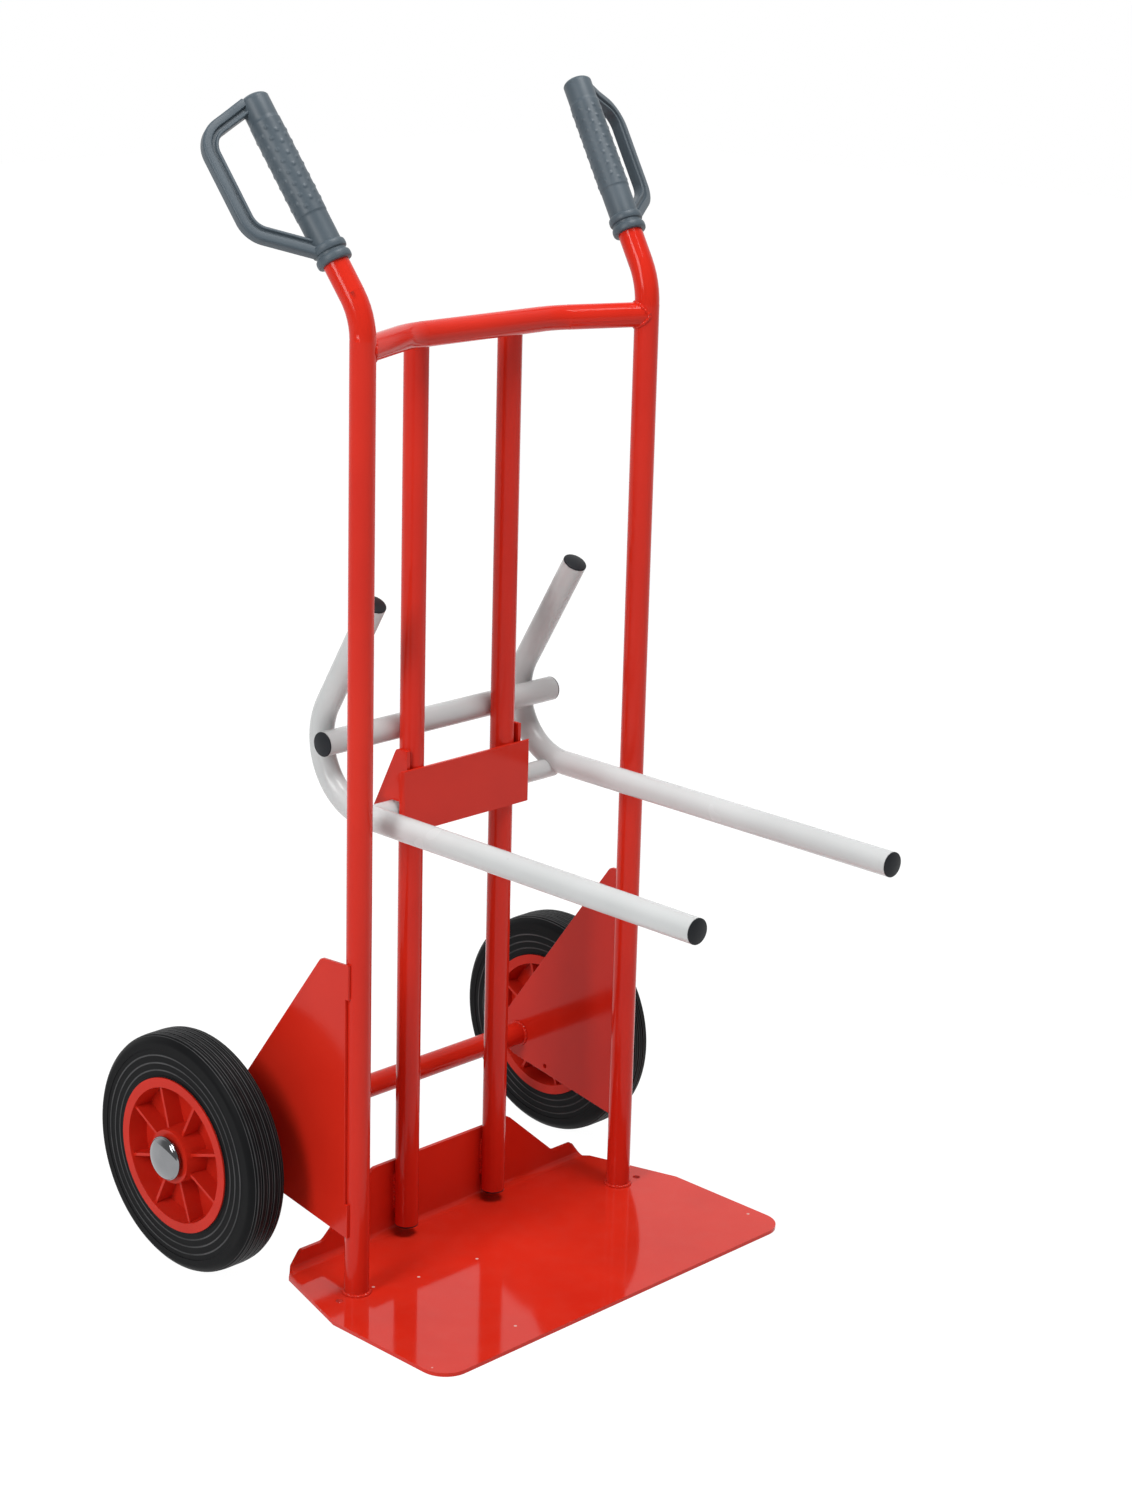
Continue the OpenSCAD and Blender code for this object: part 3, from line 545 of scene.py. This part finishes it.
BORE_R = 12.6
BORE_END = 166.0
SLEEVE_R = 14.6
RING_R = 15.3
RING_SWELL = 1.75
RING_FULLNESS = 0.7
RING_FOOT = 0.2
RING_W = 7.6
RING_PITCH = 11.0
RING_STEPS = 12
NECK_R = 14.75
NECK_HEIGHTS = (8.3, 10.7)
PLAIN_HEIGHTS = (19.4, 47.0, 49.2)
HAND_R = 15.05
HAND_HEIGHTS = np.linspace(49.8, 146.0, 170)
TOP_HEIGHTS = (146.6, 150.0, 168.8)
DOME_RISE = 6.5
DOME_STEPS = 13
SLEEVE_STEPS = 144

BUMP_COLUMNS = 12
BUMP_PITCH = 11.7
BUMP_START = 56.0
BUMP_LAST_ROW = 7
BUMP_ZONE = (50.0, 146.0)
BUMP_R = 2.8
BUMP_RISE = 0.55
BUMP_STEEPNESS = 1.2

GUARD_ROOT = 11.0
GUARD_REACH = 63.0
GUARD_TOP = 169.5
GUARD_FOOT = 9.5
GUARD_FALL = math.tan(math.radians(17.0))
GUARD_RISE = math.tan(math.radians(35.0))
GUARD_BEND_R = 25.0
GUARD_BEND_STEPS = 20
GUARD_CORNER_STEPS = 4
# One face of the guard's section: place inwards, half thickness and corner radius
GUARD_HALF = np.array([
    (-7.5, 6.0, 2.2), (0.4, 6.0, 0.8), (1.2, 3.2, 0.6), (4.2, 3.2, 0.6), (4.8, 5.4, 0.5), (7.5, 5.4, 1.2)])
FLARE_SIZE = 0.25
FLARE_REACH = 34.0
FLARE_RUN = 20.0
FLARE_ABOVE = 100.0
ROOT_SHARE = 0.45
ROOT_STEPS = 8


def column_of(radius, heights):
    """Profile points of one radius at several heights."""
    return np.stack([np.full(len(heights), radius), np.asarray(heights, float)], axis=1)


def grip_profile():
    """Radius of the grip's sleeve against its height: a closed bore, two rounded collar rings, a plain
    foot, a slightly thicker hand zone, and an elliptical dome."""
    bore = np.array([[0.0, BORE_END], [BORE_R, BORE_END], [BORE_R, 0.0], [SLEEVE_R, 0.0]])
    a = np.linspace(0.0, math.pi, RING_STEPS + 1)
    ring = np.stack([RING_R + RING_SWELL * np.sin(a) ** RING_FULLNESS,
                     RING_FOOT + RING_W * (1.0 - np.cos(a)) / 2.0], axis=1)
    a = np.linspace(0.0, math.pi / 2.0, DOME_STEPS + 1)[1:]
    dome = np.stack([SLEEVE_R * np.cos(a), TOP_HEIGHTS[-1] + DOME_RISE * np.sin(a)], axis=1)
    return np.concatenate([
        bore, ring, column_of(NECK_R, NECK_HEIGHTS), ring + np.array([0.0, RING_PITCH]),
        column_of(SLEEVE_R, PLAIN_HEIGHTS), column_of(HAND_R, HAND_HEIGHTS),
        column_of(SLEEVE_R, TOP_HEIGHTS), dome])


def hand_bumps(angle, height):
    """Raised dots in staggered columns: an eased dome round the nearest dot's centre."""
    column = np.round(angle / TURN * BUMP_COLUMNS)
    even = column % 2 == 0
    across = HAND_R * (angle - column * TURN / BUMP_COLUMNS)
    above = height - BUMP_START - np.where(even, 0.0, BUMP_PITCH / 2.0)
    row = np.clip(np.round(above / BUMP_PITCH), 0, np.where(even, BUMP_LAST_ROW, BUMP_LAST_ROW - 1))
    distance = np.sqrt(across ** 2 + (above - row * BUMP_PITCH) ** 2)
    inside = (height > BUMP_ZONE[0]) & (height < BUMP_ZONE[1])
    return np.where(inside, BUMP_RISE * smooth(BUMP_STEEPNESS * (1.0 - distance / BUMP_R)), 0.0)


def guard_profile():
    """Section of the guard's bar, inwards along p: a broad outer band, a groove on both faces and a slim
    inner ridge."""
    under = GUARD_HALF * np.array([1.0, -1.0, 1.0])
    loop = np.concatenate([GUARD_HALF[:1], under, GUARD_HALF[:0:-1]])
    return rounded_loop(loop[:, :2], loop[:, 2], GUARD_CORNER_STEPS)


def guard_bar():
    """The guard's section carried along its D-shaped path, thicker where its upper arm leaves the sleeve."""
    reach = np.array([GUARD_ROOT, GUARD_REACH, GUARD_REACH, GUARD_ROOT])
    upper = GUARD_TOP - reach[:2] * GUARD_FALL
    lower = GUARD_FOOT + reach[2:] * GUARD_RISE
    height = np.concatenate([upper, lower])
    corners = GRIP_FOOT + reach[:, None] * GUARD_DIR + height[:, None] * HANDLE_DIR
    share = ROOT_SHARE * np.linspace(0.0, 1.0, ROOT_STEPS + 1)[:-1, None]
    root = corners[0] + share * (corners[1] - corners[0])
    points, directions = bent_path(corners, GUARD_BEND_R, GUARD_BEND_STEPS)
    points = np.concatenate([root, points[1:]])
    directions = np.concatenate([np.repeat(directions[:1], len(root), axis=0), directions[1:]])
    out = (points - GRIP_FOOT) @ GUARD_DIR
    along = (points - GRIP_FOOT) @ HANDLE_DIR
    flare = np.where(along > FLARE_ABOVE, smooth((FLARE_REACH - out) / FLARE_RUN), 0.0)
    return carried(guard_profile(), points, directions, GUARD_SIDE, 1.0 + FLARE_SIZE * flare)


GRIP_PARTS = [
    patch(turned(grip_profile(), SLEEVE_STEPS, GRIP_FOOT, HANDLE_DIR, GUARD_DIR, GUARD_SIDE, hand_bumps),
          close_rows=True),
    patch(guard_bar(), close_cols=True, capped=True),
]
for side_name, side_sign in SIDES.items():
    piece(f"{side_name}_moulded_grip", [mirrored(part, side_sign) for part in GRIP_PARTS], "frame",
          GRIP_SLATE, [f"{side_name}_grip"], sharp_deg=38.0)


# Wheels

# Half of the tyre's section, from its seat to its tread: radius, half width and corner radius
TYRE_HALF = np.array([(81.0, 22.5, 0.4), (119.0, 22.5, 9.0), (125.0, 17.5, 7.0)])
TYRE_CORNER_STEPS = 10
TYRE_SECTION_STEPS = 520
TYRE_STEPS = 160
TREAD_FROM = 118.0
CROWN = 1.2
CROWN_FROM = 8.0
CROWN_RUN = 14.0
CROWN_FADE_FROM = 112.0
CROWN_FADE_RUN = 12.0
GROOVES = np.array([3.5, 10.5, 16.5])
GROOVE_DEPTH = 1.5
GROOVE_HALF_W = 1.1
GROOVE_EDGE = 0.6
# Painted highlight lines beside each groove: their offset from the groove and half width
LIP_OFF = 1.35
LIP_W = 0.55
WALL_HALF_W = 21.0
WALL_RADII = (83.0, 112.0)
WALL_RINGS = np.array([88.5, 96.0, 104.0])
WALL_RING_HALF_W = 1.1
WALL_RING_EDGE = 0.7
WALL_SUNK = 0.6
WALL_SUNK_TO = 110.0
# Share of the painted highlight on the wall's raised rings
WALL_RING_HIGHLIGHT = 0.75

CAP_SKIRT = np.array([
    [0.0, 0.0], [21.0, 0.0], [22.3, 0.0], [22.9, 0.5], [23.0, 1.2], [23.0, 2.2], [22.6, 2.9], [22.0, 3.3]])
CAP_DOME_R = 21.7
CAP_DOME_FOOT = 3.5
CAP_DOME_RISE = 5.9
CAP_DOME_POWER = 1.2
CAP_DOME_STEPS = 17
CAP_STEPS = 72


def nearest(values, marks):
    """Distance from each value to the nearest mark."""
    return np.min(np.abs(values[:, None] - marks), axis=1)


def tyre_profile():
    """Tyre section as radius against width, and how strongly each point takes the painted ridge highlight:
    flat walls with three raised rings, round shoulders and a crowned, grooved tread."""
    near = TYRE_HALF * np.array([1.0, -1.0, 1.0])
    loop = np.concatenate([near, TYRE_HALF[::-1]])
    outline = rounded_loop(loop[:, :2], loop[:, 2], TYRE_CORNER_STEPS)
    closed = np.concatenate([outline, outline[:1]])
    run = np.concatenate([[0.0], np.cumsum(np.linalg.norm(np.diff(closed, axis=0), axis=1))])
    even = np.linspace(0.0, run[-1], TYRE_SECTION_STEPS + 1)[:-1]
    radius = np.interp(even, run, closed[:, 0])
    width = np.interp(even, run, closed[:, 1])
    half_w = np.abs(width)
    on_tread = radius > TREAD_FROM
    on_wall = (half_w > WALL_HALF_W) & (radius > WALL_RADII[0]) & (radius < WALL_RADII[1])
    crown = CROWN * smooth((half_w - CROWN_FROM) / CROWN_RUN)
    crown = crown * smooth((radius - CROWN_FADE_FROM) / CROWN_FADE_RUN)
    groove = nearest(half_w, GROOVES)
    cut = np.where(on_tread, GROOVE_DEPTH * smooth((GROOVE_HALF_W - groove) / GROOVE_EDGE), 0.0)
    # Painted highlight along the groove lips and, below, the wall's raised rings
    lip = np.where(on_tread, smooth(1.0 - np.abs(groove - LIP_OFF) / LIP_W), 0.0)
    ring = smooth((WALL_RING_HALF_W - nearest(radius, WALL_RINGS)) / WALL_RING_EDGE)
    ridge = np.where(on_wall, ring, 0.0)
    sunk = np.where(on_wall & (radius < WALL_SUNK_TO), WALL_SUNK * (1.0 - ridge), 0.0)
    profile = np.stack([radius - crown - cut, width - np.sign(width) * sunk], axis=1)
    return profile, np.maximum(WALL_RING_HIGHLIGHT * ridge, lip)


def cap_profile():
    """Axle cap as radius against height: a flat back, a rolled skirt and a low dome."""
    a = np.linspace(0.0, 1.0, CAP_DOME_STEPS + 1) * math.pi / 2.0
    height = CAP_DOME_FOOT + CAP_DOME_RISE * np.sin(a) ** CAP_DOME_POWER
    return np.concatenate([CAP_SKIRT, np.stack([CAP_DOME_R * np.cos(a), height], axis=1)])


TYRE_PROFILE, TYRE_RIDGES = tyre_profile()
TYRE_PART = patch(along_x(TYRE_PROFILE, TYRE_STEPS, WHEEL_X), close_rows=True, close_cols=True)
CAP_PART = patch(along_x(cap_profile(), CAP_STEPS, CAP_X), close_rows=True)
for side_name, side_sign in SIDES.items():
    piece(f"{side_name}_grooved_tyre", [mirrored(TYRE_PART, side_sign)], f"{side_name}_wheel",
          TYRE_BLACK, [f"{side_name}_tyre"], ridges=np.tile(TYRE_RIDGES, TYRE_STEPS))
    piece(f"{side_name}_domed_cap", [mirrored(CAP_PART, side_sign)], "frame",
          CAP_CHROME, [f"{side_name}_axle_cap"], sharp_deg=50.0)


# Smooth copies of solids: piece, solid, body, slot, material, then the width and segments of eased edges

SIDE_COPIES = (
    ("ribbed_rim", "rim", "wheel", "rim_red", RIM_RED, 0.7),
    ("side_plate", "wheel_plate", "frame", "frame_red", FRAME_RED, 0.5),
    ("gusset", "pivot_gusset", "frame", "frame_red", FRAME_RED, 0.5),
    ("bent_upright", "upright", "frame", "frame_red", FRAME_RED),
    ("straight_post", "inner_post", "frame", "frame_red", FRAME_RED),
    ("bent_fork_tube", "fork_tube", "fork", "fork_grey", FORK_GREY),
    ("eased_sleeve", "pivot_sleeve", "fork", "fork_grey", FORK_GREY, 0.4),
    ("eased_bolt", "pivot_bolt", "frame", "axle_steel", AXLE_STEEL, 0.4),
    ("eased_spacer", "axle_spacer", "frame", "axle_steel", AXLE_STEEL, 0.3),
    ("eased_washer", "axle_washer", "frame", "axle_steel", AXLE_STEEL, 0.3),
)
LONE_COPIES = (
    ("bowed_crossbar", "top_crossbar", "frame", "frame_red", FRAME_RED),
    ("axle_cross_tube", "axle_tube", "frame", "frame_red", FRAME_RED),
    ("fork_stop_tube", "fork_cross_tube", "fork", "fork_grey", FORK_GREY),
    ("post_end_plugs", "post_plugs", "frame", "plug_black", PLUG_BLACK, 0.7, 3),
    ("arm_end_plugs", "arm_plugs", "fork", "plug_black", PLUG_BLACK, 0.7, 3),
    ("leg_end_plugs", "leg_plugs", "fork", "plug_black", PLUG_BLACK, 0.7, 3),
    ("stop_tube_end_plugs", "cross_tube_plugs", "fork", "plug_black", PLUG_BLACK, 0.7, 3),
    ("folded_toe_plate", "toe_plate", "frame", "frame_red", TOP_LIT_PLATE_RED, 0.8, 3),
    ("folded_cross_plate", "cross_plate", "frame", "frame_red", FRAME_RED, 0.5),
)
for side_name in SIDES:
    for copy_name, solid, carrier, *finish in SIDE_COPIES:
        own_body = f"{side_name}_wheel" if carrier == "wheel" else carrier
        copied(f"{side_name}_{copy_name}", f"{side_name}_{solid}", own_body, *finish)
for lone_copy in LONE_COPIES:
    copied(*lone_copy)


# Welds

BEAD_SIDES = 10
BEAD_STEPS = 80
BEAD_WAVE = 0.16
BEAD_END_STEEPNESS = 14.0
BEAD_END_LEAST = 0.02
LOOP_WAVE = 0.14
LOOP_STEPS_PER_RIPPLE = 6
SADDLE_EASE = 0.04
# Bead sizes are radii of their sections; ripples are counted along the bead
FOOT_BEAD = {"size": 2.0, "ripples": 22}
AXLE_BEAD = {"size": 1.9, "ripples": 22}
SIDE_BEAD = {"size": 1.8, "ripples": 12}
POST_BEAD = {"size": 1.9, "ripples": 11}
CROSSBAR_BEAD = {"size": 1.7, "ripples": 24}
UNDER_BEAD = {"size": 1.9, "ripples": 9}
LOOP_BEAD = {"size": 2.2, "ripples": 12}
FOOT_BEAD_UP = 0.6
FOOT_BEAD_OUT = 0.4
AXLE_BEAD_IN = 0.6
AXLE_BEAD_OUT = 0.2
SIDE_BEAD_Y = 4.2
SIDE_BEAD_IN = 1.5
SIDE_BEAD_RUNS = ((110.0, 160.0), (265.0, 315.0))
POST_BEAD_OFF = 7.0
POST_BEAD_Y = 76.6
POST_BEAD_RUN = (30.0, 72.0)
POST_BEAD_WAY = (0.5, -0.6)
CROSSBAR_END = (-93.5, 40.0, 0.0)
UNDER_BEAD_R = 7.0
UNDER_BEAD_STEPS = 40
LOOP_BEAD_R = 6.5


def bead_skin(path, tangent, out, radius, closed):
    """Round section square to a path: path + radius (cos b out + sin b (tangent x out))."""
    out = unit(out - (out * tangent).sum(1, keepdims=True) * tangent)
    cross = np.cross(tangent, out)
    b = np.linspace(0.0, TURN, BEAD_SIDES, endpoint=False)[None, :, None]
    ring = np.cos(b) * out[:, None, :] + np.sin(b) * cross[:, None, :]
    points = path[:, None, :] + radius.reshape(-1, 1, 1) * ring
    return patch(points, close_rows=closed, close_cols=True, capped=not closed)


def bead(path, outward, size, ripples):
    """Rippled bead along an open path, whose radius waves and runs out at both ends."""
    t = np.linspace(0.0, 1.0, len(path))
    ends = np.sqrt(np.clip(np.minimum(t, 1.0 - t) * BEAD_END_STEEPNESS, BEAD_END_LEAST, 1.0))
    radius = size * ends * (1.0 + BEAD_WAVE * np.sin(TURN * ripples * t))
    out = np.broadcast_to(np.asarray(outward, float), path.shape)
    return bead_skin(path, unit(np.gradient(path, axis=0)), out, radius, False)


def upright_run(x, y, run):
    """Evenly spaced points up a line at (x, y), from the run's lower end to its upper."""
    z = np.linspace(run[0], run[1], BEAD_STEPS)
    return np.stack([np.full_like(z, x), np.full_like(z, y), z], axis=1)


def loop_angles(ripples):
    """Angles once round a joint, a few to each ripple."""
    return np.linspace(0.0, TURN, LOOP_STEPS_PER_RIPPLE * ripples, endpoint=False)[:, None]


def loop_bead(path, out, size, ripples):
    """Rippled bead round a closed path, whose radius waves."""
    tangent = unit(np.roll(path, -1, axis=0) - np.roll(path, 1, axis=0))
    radius = size * (1.0 + LOOP_WAVE * np.sin(ripples * loop_angles(ripples)))
    return bead_skin(path, tangent, out, radius, True)


def ring_bead(centre, first, second, radius, size, ripples):
    """Rippled bead round a circle: centre + radius (cos a first + sin a second)."""
    a = loop_angles(ripples)
    around = np.cos(a) * np.asarray(first, float) + np.sin(a) * np.asarray(second, float)
    return loop_bead(np.asarray(centre, float) + radius * around, around, size, ripples)


def saddle_bead(centre, direction, size, ripples):
    """Rippled bead where a level tube butts against an upright one of the same radius R: the line
    centre + R (|sin a| direction + cos a side + sin a up), eased where it turns."""
    direction = unit(direction)
    up = np.array([0.0, 0.0, 1.0])
    a = loop_angles(ripples)
    around = np.cos(a) * np.cross(direction, up) + np.sin(a) * up
    ahead = np.sqrt(np.sin(a) ** 2 + SADDLE_EASE)
    path = np.asarray(centre, float) + TUBE_R * (ahead * direction + around)
    return loop_bead(path, around, size, ripples)


def frame_welds():
    """Beads on the right of the red frame: foot of the upright, axle tube, wheel plate, foot of the post,
    crossbar, and under the crossbar at the post."""
    a = np.linspace(math.pi, TURN, UNDER_BEAD_STEPS)
    under = np.stack([POST_X + UNDER_BEAD_R * np.cos(a), np.full_like(a, POST_Y - TUBE_R),
                      CROSSBAR_Z + UNDER_BEAD_R * np.sin(a)], axis=1)
    parts = [
        ring_bead((UPRIGHT_X, 0.0, PLATE_T + FOOT_BEAD_UP), (1, 0, 0), (0, 1, 0),
                  TUBE_R + FOOT_BEAD_OUT, **FOOT_BEAD),
        ring_bead((SIDE_IN - AXLE_BEAD_IN, AXLE_Y, AXLE_Z), (0, 1, 0), (0, 0, 1),
                  TUBE_R + AXLE_BEAD_OUT, **AXLE_BEAD),
        saddle_bead((UPRIGHT_X, 0.0, CROSSBAR_Z), CROSSBAR_END, **CROSSBAR_BEAD),
        bead(under, (0, 0, -1), **UNDER_BEAD),
    ]
    for run in SIDE_BEAD_RUNS:
        parts.append(bead(upright_run(SIDE_IN - SIDE_BEAD_IN, SIDE_BEAD_Y, run), (0, 1, 0), **SIDE_BEAD))
    for way in SIDES.values():
        line = upright_run(POST_X + way * POST_BEAD_OFF, POST_BEAD_Y, POST_BEAD_RUN)
        parts.append(bead(line, (way * POST_BEAD_WAY[0], POST_BEAD_WAY[1], 0.0), **POST_BEAD))
    return parts


def fork_welds():
    """Bead on the right of the grey fork: round the spot where the cross tube touches the loop."""
    return [ring_bead((FORK_X, CROSS_Y + TUBE_R, LOOP_Z), (1, 0, 0), (0, 0, -1), LOOP_BEAD_R, **LOOP_BEAD)]


def both_sides(parts):
    """The parts on the left and on the right."""
    return [mirrored(part, side) for side in SIDES.values() for part in parts]


piece("frame_weld_beads", both_sides(frame_welds()), "frame", FRAME_RED)
piece("fork_weld_beads", both_sides(fork_welds()), "fork", FORK_GREY)


# Stage, light and camera, in metres

FLOOR_HALF = 9.0
FLOOR_DROP = 0.0005
FLOOR_TONE = (0.82, 0.82, 0.82, 1.0)
FLOOR_GLOW = 1.12
FLOOR_GLOW_SHARE = 0.88
BACKDROP_WAY = (0.72, 0.69, -0.25)
WHITE = (1.0, 1.0, 1.0, 1.0)
# Name, place, aim, size and watts
SOFTBOXES = (
    ("key_softbox", (-3.0, -0.3, 2.3), (0.0, 0.0, 0.6), (1.0, 2.0), 62.0),
    ("top_softbox", (0.2, -0.7, 3.4), (0.0, 0.0, 0.4), (1.3, 1.3), 62.0),
)
CAMERA_PLACE = (-2.03208, -2.04999, 1.40332)
CAMERA_WAY = (0.68898, 0.66525, -0.28765)
CAMERA_ROLL = math.radians(1.544)
CAMERA_LENS = 72.51
CAMERA_SENSOR = 36.0


def make_floor():
    """A level pale sheet under the wheels, white to the camera and in mirrors but for the shadow on it."""
    mesh = bpy.data.meshes.new("floor")
    square = np.array([[-1.0, -1.0], [1.0, -1.0], [1.0, 1.0], [-1.0, 1.0]]) * FLOOR_HALF
    corners = np.column_stack([square, np.full(4, -FLOOR_DROP)])
    mesh.from_pydata(corners.tolist(), [], [[0, 1, 2, 3]])
    material = bpy.data.materials.new("pale_floor")
    material.use_nodes = True
    tree = material.node_tree
    tree.nodes.clear()
    out = tree.nodes.new("ShaderNodeOutputMaterial")
    matt = put(tree, "ShaderNodeBsdfDiffuse", Color=FLOOR_TONE)
    glow = put(tree, "ShaderNodeEmission", Strength=FLOOR_GLOW)
    ray = tree.nodes.new("ShaderNodeLightPath").outputs
    seen = worked(tree, "MAXIMUM", ray["Is Camera Ray"], ray["Is Glossy Ray"])
    seen = worked(tree, "MAXIMUM", seen, ray["Is Transmission Ray"])
    blend = tree.nodes.new("ShaderNodeMixShader")
    feed(tree, blend.inputs[0], product(tree, seen, FLOOR_GLOW_SHARE))
    feed(tree, blend.inputs[1], matt.outputs[0])
    feed(tree, blend.inputs[2], glow.outputs[0])
    feed(tree, out.inputs["Surface"], blend.outputs[0])
    mesh.materials.append(material)
    floor = bpy.data.objects.new("floor", mesh)
    bpy.context.scene.collection.objects.link(floor)


def make_world():
    """White backdrop behind, dimmer studio in front: white to the camera, mirrored as white wherever the
    direction runs towards the backdrop, and as light a ramp over that run."""
    world = bpy.data.worlds.new("studio")
    bpy.context.scene.world = world
    world.use_nodes = True
    tree = world.node_tree
    back = tree.nodes["Background"].inputs
    ray = tree.nodes.new("ShaderNodeLightPath").outputs
    towards = tree.nodes.new("ShaderNodeVectorMath")
    towards.operation = "DOT_PRODUCT"
    feed(tree, towards.inputs[0], tree.nodes.new("ShaderNodeTexCoord").outputs["Generated"])
    feed(tree, towards.inputs[1], BACKDROP_WAY)
    way = towards.outputs["Value"]
    mirror = product(tree, ray["Is Glossy Ray"], ranged(tree, way, low=-0.1, high=0.35))
    seen = worked(tree, "MAXIMUM", ray["Is Camera Ray"], ray["Is Transmission Ray"])
    seen = worked(tree, "MAXIMUM", seen, mirror)
    level = tree.nodes.new("ShaderNodeMix")
    level.data_type = "FLOAT"
    feed(tree, level.inputs[0], seen)
    feed(tree, level.inputs[2], ranged(tree, way, low=-0.3, high=0.7, to_low=0.26, to_high=0.56))
    feed(tree, level.inputs[3], 1.0)
    feed(tree, back["Color"], WHITE)
    feed(tree, back["Strength"], level.outputs[0])


def softbox(name, place, aim, size, watts):
    """A rectangular area lamp at a place, turned to face the aim."""
    lamp = bpy.data.lights.new(name, "AREA")
    lamp.shape = "RECTANGLE"
    lamp.size, lamp.size_y = size
    lamp.energy = watts
    obj = bpy.data.objects.new(name, lamp)
    bpy.context.scene.collection.objects.link(obj)
    obj.location = place
    obj.rotation_euler = (Vector(aim) - Vector(place)).to_track_quat("-Z", "Y").to_euler()


def make_camera():
    """Camera with the photograph's viewpoint, turn and angle of view."""
    forward = Vector(CAMERA_WAY).normalized()
    level = forward.cross(Vector((0.0, 0.0, 1.0))).normalized()
    upward = level.cross(forward)
    right = math.cos(CAMERA_ROLL) * level + math.sin(CAMERA_ROLL) * upward
    up = math.cos(CAMERA_ROLL) * upward - math.sin(CAMERA_ROLL) * level
    lens = bpy.data.cameras.new("camera")
    lens.lens = CAMERA_LENS
    lens.sensor_width = CAMERA_SENSOR
    obj = bpy.data.objects.new("camera", lens)
    bpy.context.scene.collection.objects.link(obj)
    turn = Matrix((right, up, -forward)).transposed()
    obj.matrix_world = Matrix.Translation(CAMERA_PLACE) @ turn.to_4x4()
    bpy.context.scene.camera = obj


make_floor()
make_world()
for lamp_values in SOFTBOXES:
    softbox(*lamp_values)
make_camera()
bpy.context.scene.view_settings.view_transform = "Standard"
